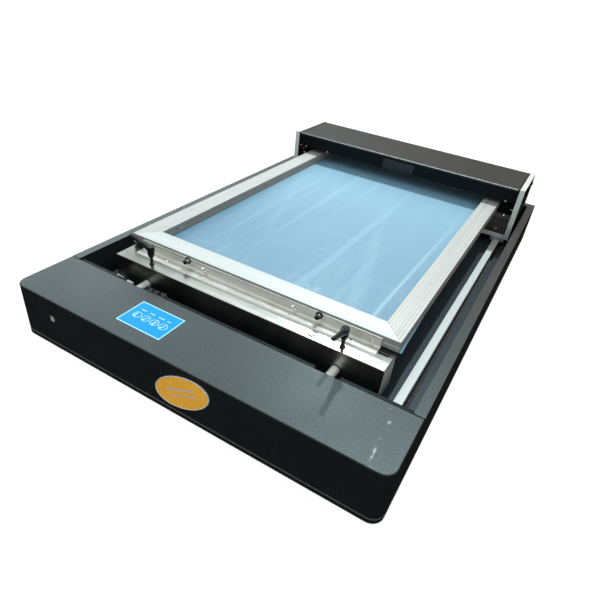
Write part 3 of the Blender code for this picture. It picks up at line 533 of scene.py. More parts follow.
def ceramic():
    """Glazed heater bar, slightly browned along its heat line."""
    look = Look("looks_heater", (0.42, 0.40, 0.37), 0.3)
    skin = look.blend(look.cloud((0.35, 0.65), (8.0, 60.0, 60.0), 4.0),
                      (0.36, 0.34, 0.31), (0.47, 0.45, 0.42))
    look.set("Base Color", look.blend(look.cloud((0.55, 0.7, 0.0, 0.5), (60.0, 60.0, 60.0)),
                                      skin, (0.25, 0.20, 0.15)))
    look.roughen(0.22, 0.4, 40.0)
    look.bump(look.noise(500.0), 0.02, 0.2)
    return look.material


def toothed(name, colour, roughness, metallic, pitch_mm):
    """Belt or pulley with teeth across its run, their gaps painted darker and their tops lighter as painted
    shade and highlight.
    """
    look = Look(name, colour, roughness, metallic)
    teeth = look.waves("Y", pitch_mm)
    # Painted shade and highlight: darker tooth gaps, lighter tooth tops.
    look.set("Base Color", look.blend(look.range(teeth), scaled_colour(colour, 0.7),
                                      scaled_colour(colour, 1.3)))
    look.roughen(roughness - 0.08, roughness + 0.08, 200.0)
    look.bump(teeth, 0.4, 0.5)
    return look.material


# centre, radii, turn and strength of the scuffs on the cover's rolled edge
COVER_MARKS = (((248.8, 67.0, 84.5), (3.0, 4.2, 40.0), 15.0, 0.40),
               ((249.0, 38.6, 84.5), (2.2, 3.6, 40.0), 10.0, 0.38),
               ((249.8, 19.2, 84.5), (3.2, 14.0, 40.0), -4.0, 0.42),
               ((255.5, 2.6, 84.5), (3.4, 2.0, 40.0), 0.0, 0.25),
               ((242.6, 86.8, 84.5), (4.0, 1.8, 40.0), 0.0, 0.22))
FRAME_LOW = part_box("frame_front_bar")[0]
FRAME_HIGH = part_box("frame_rear_bar")[1]
FRAME_MIDDLE = (FRAME_LOW + FRAME_HIGH) / 2
FRAME_HALF = (FRAME_HIGH - FRAME_LOW) / 2
RIB_PITCH = (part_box("frame_left_bar")[1].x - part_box("frame_left_bar")[0].x) / 7

PAINT_COLOUR = (0.0115, 0.0135, 0.0140)
PAINT_COVER = paint("looks_paint_cover", PAINT_COLOUR, 0.43, marks=COVER_MARKS)
PAINT_BLACK = paint("looks_paint_black", PAINT_COLOUR, 0.43)
# The tray's lip gets a painted highlight along its top edge.
PAINT_TRAY = paint("looks_paint_tray", PAINT_COLOUR, 0.43, highlight_top=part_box("base_plate")[1].z)
PAINT_LEFT = paint("looks_paint_left", PAINT_COLOUR, 0.43, inward=1)
PAINT_RIGHT = paint("looks_paint_right", PAINT_COLOUR, 0.43, inward=-1)
PAINT_GANTRY = paint("looks_paint_gantry", (0.010, 0.0085, 0.0075), 0.5, 1.36, sheen=(1.0, 0.95, 0.90))
ANODISED = paint("looks_anodised", (0.022, 0.031, 0.038), 0.42, 1.36)
ANODISED_FRONT = paint("looks_anodised_front", (0.003, 0.0045, 0.0055), 0.5, 1.22)
BEAM_STEEL = beam_steel()
BRACKET_STEEL = bracket_steel()
BAR_METAL_X = brushed("looks_frame_bar_x", (0.455, 0.47, 0.465), 0.54, "X", 0.35, metallic=0.45,
                      ribs=("Y", FRAME_MIDDLE.y, FRAME_HALF.y))
# The left and right bars' base is darker and warmer than the front and rear bars' as painted shade; their
# stains and pits are wear.
BAR_METAL_Y = brushed("looks_frame_bar_y", (0.400, 0.398, 0.382), 0.54, "Y", 0.55, 0.12, metallic=0.4,
                      pits=0.25, ribs=("X", FRAME_MIDDLE.x, FRAME_HALF.x))
BARE_METAL = brushed("looks_bare_aluminium", (0.78, 0.80, 0.79), 0.38, "Y", 0.7, metallic=0.4)
RAIL_METAL = brushed("looks_rail_steel", (0.66, 0.69, 0.68), 0.5, "Y", 0.25, metallic=0.15)
SHAFT_METAL = turned_steel()
END_PLATE = plate_metal("looks_end_plate", "X")
LOWER_PLATE = plate_metal("looks_lower_plate", "Z")
PULLEY_METAL = toothed("looks_pulley", (0.70, 0.71, 0.72), 0.32, 1.0, 2.0)
BELT_RUBBER = toothed("looks_belt", (0.022, 0.022, 0.022), 0.7, 0.0, 2.0)
MOTOR_PAINT = paint("looks_motor", (0.03, 0.03, 0.032), 0.45)
SCREW_METAL = brushed("looks_screw_steel", (0.80, 0.79, 0.76), 0.24, "Z", 0.5)
BLACK_SCREW = moulded("looks_black_screw", (0.005, 0.0045, 0.0045), 0.4, 1400.0)
BLACK_PLASTIC = moulded("looks_black_plastic", (0.004, 0.0045, 0.0055), 0.3, ior=1.36)
GLOSS_BLACK = moulded("looks_gloss_black", (0.004, 0.006, 0.008), 0.42, 300.0)
RUBBER = moulded("looks_rubber", (0.02, 0.02, 0.02), 0.75)
WIRE_SLEEVE = moulded("looks_wire_sleeve", (0.020, 0.024, 0.027), 0.35, 500.0)
DISPLAY = display_glass()
DISPLAY_EDGE = glowing("looks_display_edge", (0.42, 0.86, 1.0), 0.86)
DISPLAY_LINES = glowing("looks_display_lines", (0.62, 0.90, 1.0), 0.8)
DISPLAY_DARK = enamel("looks_display_dark", (0.02, 0.08, 0.22))
# Pale metal for a painted highlight on the gantry cover's front edge.
EDGE_HIGHLIGHT_METAL = brushed("looks_edge_highlight", (0.40, 0.44, 0.45), 0.5, "X", 0.5, metallic=0.7)
GLOWING_GOLD = glowing_gold_field()
WHITE_PRINT = enamel("looks_white_print", (0.78, 0.78, 0.79))
CIRCUIT = circuit_green()
HEATER = ceramic()
FILM = stencil_film()
GROOVE_STRIP = enamel("looks_groove_strip", (0.42, 0.25, 0.12), 0.28)


# CAD nodes ----------------------------------------------------------------------------------------
SHARP_ANGLE, ROUNDED_ANGLE, FLAT_ANGLE = [math.radians(angle) for angle in (48.0, 28.0, 0.6)]
JOIN_DISTANCE = 0.00001


def shading_group(name, mark_sharp):
    """Geometry nodes that join the mesh's loose faces and shade them smooth, or mark sharp edges."""
    group = bpy.data.node_groups.new(name, "GeometryNodeTree")
    group.interface.new_socket("Geometry", in_out="INPUT", socket_type="NodeSocketGeometry")
    group.interface.new_socket("Geometry", in_out="OUTPUT", socket_type="NodeSocketGeometry")
    start, end = group.nodes.new("NodeGroupInput"), group.nodes.new("NodeGroupOutput")
    smooth = group.nodes.new("GeometryNodeSetShadeSmooth")
    if mark_sharp:
        smooth.domain = "EDGE"
        smooth.inputs["Shade Smooth"].default_value = False
        angle = group.nodes.new("GeometryNodeInputMeshEdgeAngle")
        compare = group.nodes.new("FunctionNodeCompare")
        compare.operation = "GREATER_THAN"
        compare.inputs[1].default_value = SHARP_ANGLE
        group.links.new(angle.outputs["Unsigned Angle"], compare.inputs[0])
        group.links.new(compare.outputs[0], smooth.inputs["Selection"])
        group.links.new(start.outputs[0], smooth.inputs[0])
    else:
        join = group.nodes.new("GeometryNodeMergeByDistance")
        join.inputs["Distance"].default_value = JOIN_DISTANCE
        group.links.new(start.outputs[0], join.inputs[0])
        group.links.new(join.outputs[0], smooth.inputs[0])
    group.links.new(smooth.outputs[0], end.inputs[0])
    return group


JOIN_FACES = shading_group("join_faces", False)
MARK_SHARP = shading_group("mark_sharp", True)


def dress(name, look, edge_mm=0.0):
    """Gives a CAD node its finish, clean shading and, where it has none, small rounded edges."""
    node = frame["nodes"][name]
    for slot in node.material_slots:
        slot.material = look
    node.modifiers.new("join", "NODES").node_group = JOIN_FACES
    flat = node.modifiers.new("flat", "DECIMATE")
    flat.decimate_type = "DISSOLVE"
    flat.angle_limit = FLAT_ANGLE
    if edge_mm:
        edge = node.modifiers.new("edge", "BEVEL")
        edge.width = edge_mm * MM
        edge.segments = 2
        edge.limit_method = "ANGLE"
        edge.angle_limit = ROUNDED_ANGLE
        edge.harden_normals = False
    node.modifiers.new("sharp", "NODES").node_group = MARK_SHARP
    weight = node.modifiers.new("weight", "WEIGHTED_NORMAL")
    weight.keep_sharp = True


def both(*stems):
    return [f"{stem}_{side}" for stem in stems for side, _ in SIDES]


DRESSED = (
    (PAINT_COVER, 0.0, ["front_cover"]),
    (PAINT_BLACK, 0.0, ["rear_wall"]),
    (PAINT_LEFT, 0.0, ["left_wall"]),
    (PAINT_RIGHT, 0.0, ["right_wall"]),
    (PAINT_TRAY, 0.25, ["base_plate"]),
    (PAINT_GANTRY, 0.0, ["gantry_top_cover"]),
    (ANODISED, 0.25, ["deck"]),
    (LOWER_PLATE, 0.0, ["gantry_lower_plate"]),
    (ANODISED_FRONT, 0.0, ["gantry_front_panel", "gantry_rear_panel"]),
    (END_PLATE, 0.0, both("gantry_end")),
    (ANODISED_FRONT, 0.25, ["gantry_cross_beam", "inner_panel"]),
    (BARE_METAL, 0.25, ["limit_switch", "usb_socket"]
     + both("shaft_block", "carriage", "belt_clamp")),
    (RAIL_METAL, 0.2, both("rail")),
    (SHAFT_METAL, 0.0, both("guide_shaft")),
    (SHAFT_METAL, 0.3, ["drive_shaft", "idler_axle"]),
    (PULLEY_METAL, 0.15, both("drive_pulley", "idler_pulley")),
    (BELT_RUBBER, 0.1, both("belt")),
    (MOTOR_PAINT, 0.0, ["drive_motor"] + both("lift_solenoid")),
    (RUBBER, 0.3, both("foot_front", "foot_rear")),
    (BLACK_PLASTIC, 0.3, ["power_inlet", "power_switch"]),
    (DISPLAY, 0.0, ["touch_screen"]),
    (CIRCUIT, 0.15, ["control_board"]),
    (HEATER, 0.3, ["thermal_head"]),
    (BEAM_STEEL, 0.0, ["clamp_beam"]),
    (BRACKET_STEEL, 0.25, ["clamp_bracket"]),
    (BAR_METAL_X, 0.12, ["frame_front_bar", "frame_rear_bar"]),
    (BAR_METAL_Y, 0.12, ["frame_left_bar", "frame_right_bar"]),
)
for finish_look, edge_size, node_names in DRESSED:
    for node_name in node_names:
        dress(node_name, finish_look, edge_size)


# Mesh helpers -------------------------------------------------------------------------------------
OPEN = (False, False)
WELD_MM = 0.0005


def weld(bm):
    """Joins points that lie on one another."""
    bmesh.ops.remove_doubles(bm, verts=bm.verts, dist=WELD_MM)


def make_piece(name, bm, looks, body, smooth=40.0):
    """Makes a piece from points in machine millimetres, and rides it on its body."""
    for vert in bm.verts:
        vert.co = at(*vert.co)
    bmesh.ops.recalc_face_normals(bm, faces=bm.faces)
    mesh = bpy.data.meshes.new(name)
    bm.to_mesh(mesh)
    bm.free()
    for look in looks:
        mesh.materials.append(look)
    mesh.shade_smooth()
    mesh.set_sharp_from_angle(angle=math.radians(smooth))
    made = add_object(name, mesh)
    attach(made, body)
    return made


def standing(place, direction):
    """Matrix whose Z axis points along a direction from a place."""
    return Matrix.Translation(Vector(place)) @ Vector(direction).to_track_quat("Z", "Y").to_matrix().to_4x4()


def loft(bm, rings, look=0, caps=(True, True)):
    """Skins a row of rings that have the same number of points."""
    rows = [[bm.verts.new(point) for point in points] for points in rings]
    count = len(rows[0])
    faces = []
    for lower, upper in zip(rows, rows[1:]):
        for index in range(count):
            after = (index + 1) % count
            faces.append(bm.faces.new((lower[index], lower[after], upper[after], upper[index])))
    if caps[0]:
        faces.append(bm.faces.new(list(reversed(rows[0]))))
    if caps[1]:
        faces.append(bm.faces.new(rows[-1]))
    for face in faces:
        face.material_index = look


def ring(matrix, radius, height, count=32):
    """Ring of points about a matrix's Z axis. The radius may be a function of the angle."""
    points = []
    for index in range(count):
        angle = 2 * math.pi * index / count
        reach = radius(angle) if callable(radius) else radius
        points.append(matrix @ Vector((reach * math.cos(angle), reach * math.sin(angle), height)))
    return points


def stack(matrix, profile, count=32):
    """Rings from (radius, height) pairs."""
    return [ring(matrix, radius, height, count) for radius, height in profile]


def turned(bm, profile, place, direction=UP, count=32, look=0):
    """Solid of revolution from (radius, height) pairs."""
    loft(bm, stack(standing(place, direction), profile, count), look)


def prism(bm, outlines, look=0):
    """Solid between flat outlines, each given as points."""
    loft(bm, [[Vector(point) for point in outline] for outline in outlines], look)


def slab(bm, low, high, look=0, edge=0.0):
    """Box, with its top edges chamfered if an edge size is given."""
    (x0, y0, z0), (x1, y1, z1) = low, high
    steps = ((0.0, z0), (0.0, z1 - edge), (edge, z1)) if edge else ((0.0, z0), (0.0, z1))
    prism(bm, [((x0 + inset, y0 + inset, z), (x1 - inset, y0 + inset, z),
                (x1 - inset, y1 - inset, z), (x0 + inset, y1 - inset, z)) for inset, z in steps], look)


def hexagon(flat):
    """Radius of a hexagon by angle, from its half width across flats."""
    return lambda angle: flat / math.cos((angle + math.pi / 6) % (math.pi / 3) - math.pi / 6)


def slotted(half_width, half_length):
    """Radius of a screwdriver slot by angle."""
    def reach(angle):
        across = half_width / max(abs(math.sin(angle)), 1e-6)
        along = half_length / max(abs(math.cos(angle)), 1e-6)
        return min(across, along)
    return reach


# radius and height of a screw head's rounded rim, as shares of its size
HEAD_PROFILE = ((0.97, 0.0), (1.0, 0.18), (0.99, 0.62), (0.93, 0.86), (0.84, 1.0))
WASHER_THICK = 0.8


def screw(bm, place, direction, radius, height, socket, depth, looks=(0, 0), washer=0.0):
    """Screw head with a rounded rim and a recess, on a washer if one is asked for."""
    matrix = standing(place, direction)
    base = 0.0
    if washer:
        base = WASHER_THICK
        loft(bm, stack(matrix, ((washer, 0.0), (washer, base - 0.2), (washer - 0.25, base)), 36), looks[0])
    top = base + height
    shape = hexagon(radius * 0.5) if socket == "hex" else slotted(radius * 0.16, radius * 0.86)
    head = [(radius * wide, base + height * up) for wide, up in HEAD_PROFILE]
    loft(bm, stack(matrix, head, 36), looks[0], caps=(True, False))
    loft(bm, stack(matrix, ((radius * 0.84, top), (shape, top)), 36), looks[0], caps=OPEN)
    loft(bm, stack(matrix, ((shape, top), (shape, top - depth)), 36), looks[1], caps=(False, True))
    weld(bm)


def sweep(bm, points, radius, count=12, steps=5):
    """Round tube along a smooth curve through the points."""
    dense = []
    padded = [points[0], *points, points[-1]]
    for index in range(1, len(padded) - 2):
        a, b, c, d = (Vector(padded[index + k]) for k in (-1, 0, 1, 2))
        for step in range(steps):
            t = step / steps
            dense.append(0.5 * ((2 * b) + (c - a) * t + (2 * a - 5 * b + 4 * c - d) * t * t
                                + (3 * b - a - 3 * c + d) * t ** 3))
    dense.append(Vector(points[-1]))
    rings = []
    for index, point in enumerate(dense):
        ahead = dense[min(index + 1, len(dense) - 1)] - dense[max(index - 1, 0)]
        rings.append(ring(standing(point, ahead), radius, 0.0, count))
    loft(bm, rings)


# Display, name plate and sockets ------------------------------------------------------------------
DIAL_PITCH, DIAL_RADIUS, DIAL_LINE = 14.6, 6.1, 0.62
# angle, shift and half width of each dial's needle, and the length of the dashes above it
DIALS = ((90.0, -2.2, 0.9, 8.2), (66.0, 0.0, 0.55, 8.0), (78.0, 0.4, 0.9, 10.5), (60.0, 0.0, 0.6, 6.0))
NEEDLE_HALF = 3.9
DASHES = 3


def make_display():
    """Border, four dials with their needles, and the dots and short dashes above them."""
    low, high = limits("touch_screen")
    glass, top = high.z + 0.01, high.z + 0.07
    inset, width = 0.35, 1.35
    x0, x1, y0, y1 = low.x + inset, high.x - inset, low.y + inset, high.y - inset
    bm = bmesh.new()
    for a, b in (((x0, y0), (x1, y0 + width)), ((x0, y1 - width), (x1, y1)),
                 ((x0, y0 + width), (x0 + width, y1 - width)),
                 ((x1 - width, y0 + width), (x1, y1 - width))):
        slab(bm, (*a, glass), (*b, top))
    make_piece("display_border", bm, [DISPLAY_EDGE], "base")

    bm, dots = bmesh.new(), bmesh.new()
    y = (low.y + high.y) / 2 - 2.0
    inner = DIAL_RADIUS - DIAL_LINE
    for index, (angle, shift, thick, dash) in enumerate(DIALS):
        x = low.x + 15.5 + index * DIAL_PITCH
        circle = ((DIAL_RADIUS, glass), (DIAL_RADIUS, top), (inner, top), (inner, glass),
                  (DIAL_RADIUS, glass))
        loft(bm, stack(standing((x, y, 0), UP), circle, 48), caps=OPEN)
        turn = Matrix.Translation((x + shift, y, 0)) @ Matrix.Rotation(math.radians(angle), 4, "Z")
        half = NEEDLE_HALF
        needle = ((-half, -thick), (half, -0.7 * thick), (half, 0.7 * thick), (-half, thick))
        foot = ((-half - 0.64, -1.5), (-half + 0.8, -1.5), (-half + 0.8, 1.5), (-half - 0.64, 1.5))
        for outline in (needle, foot):
            prism(bm, [[turn @ Vector((u, v, level)) for u, v in outline] for level in (glass, top)])
        start, step = x - 3.4, dash / DASHES
        for k in range(DASHES):
            slab(bm, (start + k * step, y + 11.4, glass), (start + (k + 0.78) * step, y + 12.7, top))
        turned(dots, ((0.75, glass), (0.75, top)), (x + 2.8, y + 7.6, 0), UP, 16)
    weld(bm)
    make_piece("display_dials", bm, [DISPLAY_LINES], "base")
    make_piece("display_dots", dots, [DISPLAY_DARK], "base")


EMBLEM_BARS = ((-24.0, 24.0, 3.2, 5.6), (-24.0, -2.0, -5.4, -3.8), (2.0, 24.0, -5.4, -3.8))
PLATE_SLANT = math.radians(24.1)


def rounded_bar(low_u, high_u, low_v, high_v, steps=6):
    """Outline of a bar with round ends."""
    radius = (high_v - low_v) / 2
    middle = (high_v + low_v) / 2
    points = []
    for centre_u, start in ((high_u - radius, -90.0), (low_u + radius, 90.0)):
        for step in range(steps + 1):
            angle = math.radians(start + 180.0 * step / steps)
            points.append((centre_u + radius * math.cos(angle), middle + radius * math.sin(angle)))
    return points


def make_name_plate():
    """Oval plate with a white rim, a gently crowned gold field and a plain bar emblem."""
    low, high = limits("badge_plate")
    centre = (low + high) / 2
    slant = PLATE_SLANT
    half_x, half_z = (high.x - low.x) / 2, (high.z - low.z) / 2
    spread, cross = half_x ** 2 + half_z ** 2, (half_x ** 2 - half_z ** 2) / math.cos(2 * slant)
    radii = (math.sqrt((spread + cross) / 2), math.sqrt((spread - cross) / 2))

    def oval(scale, depth, count=72):
        points = []
        for index in range(count):
            angle = 2 * math.pi * index / count
            along, across = radii[0] * scale * math.cos(angle), radii[1] * scale * math.sin(angle)
            points.append(Vector((centre.x + along * math.cos(slant) - across * math.sin(slant), depth,
                                  centre.z + along * math.sin(slant) + across * math.cos(slant))))
        return points

    back, face = high.y, low.y
    rim = 1 - 1.9 / radii[1] * 0.62
    bm = bmesh.new()
    loft(bm, [oval(1.0, back), oval(1.0, face + 0.25), oval(0.992, face), oval(rim + 0.006, face),
              oval(rim, face + 0.2)], look=1, caps=(True, False))
    loft(bm, [oval(rim, face + 0.2), oval(rim - 0.004, face + 0.22), oval(0.8, face + 0.16),
              oval(0.5, face + 0.1), oval(0.2, face + 0.08)], look=0, caps=(False, True))
    weld(bm)
    plate = make_piece("name_plate", bm, [GLOWING_GOLD, WHITE_PRINT], "base", 60.0)
    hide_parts("badge_plate")

    bm = bmesh.new()
    turn = Matrix.Translation(centre) @ Matrix.Rotation(-slant, 4, "Y")
    for bar in EMBLEM_BARS:
        prism(bm, [[turn @ Vector((u, depth - centre.y, v)) for u, v in rounded_bar(*bar)]
                   for depth in (face + 0.2, face + 0.02)])
    make_piece("name_plate_bars", bm, [WHITE_PRINT], "base")


def make_data_socket():
    """Tongue of the data socket with its four contacts."""
    low, high = limits("usb_socket")
    middle = (low + high) / 2
    bm = bmesh.new()
    slab(bm, (low.x + 1.9, low.y + 1.0, middle.z - 0.2), (high.x - 1.9, low.y + 9.8, middle.z + 1.3))
    for index in range(4):
        x = low.x + 2.3 + index * 0.95
        slab(bm, (x, low.y + 1.3, middle.z - 0.32), (x + 0.55, low.y + 9.0, middle.z - 0.19), look=1)
    make_piece("data_socket_tongue", bm, [WHITE_PRINT, SCREW_METAL], "base")


def make_inlet():
    """Blades of the mains inlet, its screws and the rear wall's screws."""
    low, high = limits("power_inlet")
    middle_x, socket_z = (low.x + high.x) / 2, (low.z + high.z) / 2 - 9.0
    rear = high.y
    bm = bmesh.new()
    for x, z in ((-7.0, -2.0), (0.0, 2.5), (7.0, -2.0)):
        slab(bm, (middle_x + x - 1.0, rear - 10.4, socket_z + z - 2.4),
             (middle_x + x + 1.0, rear - 2.0, socket_z + z + 2.4))
    make_piece("inlet_blades", bm, [SCREW_METAL], "base")
    bm = bmesh.new()
    for x in (low.x + 4.4, high.x - 4.4):
        screw(bm, (x, rear - 0.02, socket_z), BACKWARD, 2.9, 1.1, "slot", 0.6)
    for x in (-262.0, -180.0, -60.0, 60.0, 212.0, 262.0):
        for z in (20.0, 74.0):
            screw(bm, (x, limits("rear_wall")[1].y - 0.02, z), BACKWARD, 2.8, 1.15, "hex", 0.8)
    make_piece("rear_screws", bm, [BLACK_SCREW], "base")


def make_switch_marks():
    """Bar and circle printed on the rocker."""
    bm = bmesh.new()
    place = Matrix.Translation(pivot("power_switch_rock"))
    upper, lower = [place @ Matrix.Rotation(math.radians(tilt), 4, "X") for tilt in (-13.6, 4.9)]
    bar = [upper @ Vector((x, 4.15, z)) for x, z in ((-0.45, 2.0), (0.45, 2.0), (0.45, 5.4), (-0.45, 5.4))]
    prism(bm, [bar, [point + BACKWARD * 0.14 for point in bar]])
    circle = ((1.7, 0.0), (1.7, 0.16), (1.15, 0.16), (1.15, 0.0), (1.7, 0.0))
    loft(bm, stack(standing(lower @ Vector((0.0, 3.26, -3.7)), BACKWARD), circle, 28), caps=OPEN)
    weld(bm)
    make_piece("switch_marks", bm, [WHITE_PRINT], "power_switch")


def oval_reach(radius, share=0.62):
    """Radius of a flattened oval by angle."""
    return lambda angle: radius / math.sqrt((math.cos(angle) / share) ** 2 + math.sin(angle) ** 2)


def make_loom():
    """Short run of inside wiring tied to the fold of the inner panel, behind the cover."""
    low, high = limits("inner_panel")
    random.seed(7)
    bm = bmesh.new()
    y, z = low.y + 4.2, high.z + 0.2
    for wire in range(4):
        shift = (wire - 1.5) * 1.9
        points = [(-143.0 + wire, y + shift * 0.5, z - 17.0), (-139.0, y + shift, z - 5.0)]
        for step in range(6):
            points.append((-134.0 + step * 6.4, y + shift + random.uniform(-0.8, 0.8),
                           z + random.uniform(0.2, 1.7) + (wire % 2) * 0.5))
        points += [(-98.0, y + shift, z - 5.0), (-95.0, y + 5.2, z - 18.0)]
        sweep(bm, points, 1.05, count=10)
    for x in (-131.5, -121.0, -110.5):
        matrix = standing((x, y, z + 0.8), (1, 0.1, 0))
        tie = [(oval_reach(r), h) for r, h in ((3.9, -1.1), (4.5, -1.0), (4.5, 1.0), (3.9, 1.1))]
        loft(bm, stack(matrix, tie, 28), look=1)
        slab(bm, (x - 1.4, y - 1.6, z + 2.6), (x + 1.5, y + 1.4, z + 5.0), look=1, edge=0.4)
    make_piece("inner_loom", bm, [WIRE_SLEEVE, BLACK_PLASTIC], "base")


# Clamp beam and its hardware ----------------------------------------------------------------------
def make_bushes():
    """Polished flange with a thin black wiper ring where each shaft enters the beam."""
    for side, _ in SIDES:
        name = f"beam_bush_{side}"
        low, high = limits(name)
        middle = (low + high) / 2
        inner = (high.x - low.x) / 2 - 3.2
        matrix = standing((middle.x, low.y, middle.z), BACKWARD)
        length = high.y - low.y
        flange = ((1.6, -0.02), (1.6, 0.5), (3.2, 0.5), (3.2, length - 0.1), (0.4, length), (0.4, 0.6),
                  (1.6, -0.02))
        wiper = ((1.5, -0.05), (1.5, 0.6), (0.0, 0.7), (0.0, 0.1), (0.5, -0.2), (1.1, -0.25), (1.5, -0.05))
        bm = bmesh.new()
        for look, profile in enumerate((flange, wiper)):
            loft(bm, stack(matrix, [(inner + r, h) for r, h in profile], 40), look, OPEN)
        weld(bm)
        piece = make_piece(f"shaft_wiper_{side}", bm, [BEAM_STEEL, RUBBER], "clamp_beam")
        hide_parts(name)


def bracket_levels():
    """Height of the bracket's foot, front of its upright and height of the beam's top."""
    beam_high = limits("clamp_beam")[1]
    return limits("clamp_bracket")[0].z + 1.2, beam_high.y - 3.5, beam_high.z


def make_bracket_screws():
    """Screws, washers and studs on the bracket's foot and upright."""
    low = limits("clamp_bracket")[0]
    foot, upright, beam_top = bracket_levels()
    bm = bmesh.new()
    for x, y in ((low.x + 33.1, 152.4), (low.x + 51.5, 152.0)):
        screw(bm, (x, y, foot), UP, 2.9, 1.3, "slot", 0.8)
    for x in (-72.1, 67.6):
        turned(bm, ((1.7, 0.0), (1.9, 0.5), (1.5, 1.2), (0.7, 1.6)), (x, 148.1, foot), UP, 24)
    for x in (-76.4, 73.5):
        place = (x, upright, foot + 4.6)
        screw(bm, place, FORWARD, 2.6, 2.4, "hex", 1.5, washer=4.6)
        turned(bm, ((1.5, 0.0), (1.5, 5.4), (1.1, 6.0)), (x - 2.2, upright + 0.5, foot + 9.2),
               (-0.25, -1.0, 0.1), 16)
    cap = ((5.2, 0.0), (5.4, 0.5), (5.1, 1.3), (3.2, 1.5), (3.0, 1.2))
    turned(bm, cap, (112.8, 134.2, beam_top), UP, 32)
    screw(bm, (184.1, upright, foot + 4.8), FORWARD, 2.7, 1.0, "slot", 0.7, washer=4.0)
    make_piece("bracket_screws", bm, [SCREW_METAL], "clamp_beam")


def make_bracket_edge():
    """Small chamfer where the bracket's foot meets the beam."""
    low, high = limits("clamp_bracket")
    foot, _, beam_top = bracket_levels()
    bm = bmesh.new()
    edge = ((low.y - 1.0, beam_top + 0.02), (low.y + 0.1, beam_top + 0.02), (low.y + 0.1, foot + 0.05))
    prism(bm, [[(x, y, z) for y, z in edge] for x in (low.x, high.x)])
    make_piece("bracket_edge", bm, [BRACKET_STEEL], "clamp_beam")


def make_bracket_pads():
    """Screw with its socket painted black as painted shade, washers behind the clamp screws, and a black
    block beside the bracket.
    """
    end = limits("clamp_bracket")[1].x
    foot, upright, beam_top = bracket_levels()
    bm = bmesh.new()
    # Painted shade: the screw's hex socket is black.
    screw(bm, (160.2, 150.8, foot), UP, 3.1, 1.0, "hex", 0.85, looks=(0, 1))
    washer = ((5.2, 0.0), (5.2, 0.9), (4.9, 1.1), (2.6, 1.1), (2.6, 0.0), (5.2, 0.0))
    for side, _ in SIDES:
        joint = pivot(f"clamp_screw_{side}_turn")
        loft(bm, stack(standing((joint.x, upright, joint.z), FORWARD), washer), 1, OPEN)
    # A black block beside the bracket's end.
    slab(bm, (end + 0.8, 150.5, beam_top + 0.02), (end + 14.5, 161.0, beam_top + 2.2), 1, 0.3)
    weld(bm)
    make_piece("bracket_pads", bm, [SCREW_METAL, BLACK_SCREW], "clamp_beam")


THREAD_PITCH, THREAD_DEPTH, SHANK = 0.7, 0.28, 2.15


def knurl(size):
    """Radius of a knurled rim by angle."""
    return lambda angle: size * (1 + 0.035 * math.cos(24 * angle))


def make_clamp_screws():
    """Black knurled screws on bright threaded shanks."""
    for side, _ in SIDES:
        name = f"clamp_screw_{side}"
        low, high = limits(name)
        joint = pivot(f"{name}_turn")
        radius = (high.x - low.x) / 2
        matrix = standing((joint.x, low.y, joint.z), BACKWARD)
        bm = bmesh.new()
        head = ((radius * 0.82, 0.0), (knurl(radius * 0.95), 0.4), (knurl(radius), 0.9), (knurl(radius), 3.7),
                (radius * 0.9, 4.2), (radius * 0.55, 4.3))
        socket = ((radius * 0.82, 0.0), (hexagon(1.7), 0.0), (hexagon(1.7), 2.6))
        for profile in (head, socket):
            loft(bm, stack(matrix, profile, 96), caps=(False, True))
        threads = []
        length = high.y - low.y
        for index in range(int((length - 4.6) / THREAD_PITCH)):
            start = 4.2 + index * THREAD_PITCH
            threads += [(SHANK, start), (SHANK - THREAD_DEPTH, start + THREAD_PITCH / 2)]
        threads.append((SHANK - 0.6, length))
        loft(bm, stack(matrix, threads, 24), look=1)
        weld(bm)
        piece = make_piece(f"knurled_screw_{side}", bm, [BLACK_SCREW, SCREW_METAL], name)
        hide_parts(name)


# radius and height of the lever's hub; reach, height, half width and half height of the grip's sections
LEVER_HUB = ((2.3, 11.4), (3.5, 11.6), (3.8, 12.2), (4.1, 14.6), (4.9, 15.6), (5.2, 20.0), (5.55, 26.4),
             (5.4, 28.5), (4.9, 29.1), (3.7, 29.2), (3.6, 27.4))
LEVER_GRIP = ((0.0, 24.4, 4.9, 4.5), (5.0, 25.6, 4.4, 4.2), (10.0, 26.9, 3.7, 3.7), (16.0, 28.7, 3.1, 3.2),
              (26.0, 31.7, 2.9, 2.9), (33.0, 33.8, 3.0, 2.8), (36.0, 34.7, 2.9, 2.6), (37.2, 35.1, 2.1, 1.9))
LEVER_SQUARE = 0.72  # 1 makes the grip's sections oval, less makes them squarer


def squared(share):
    return math.copysign(abs(share) ** LEVER_SQUARE, share)


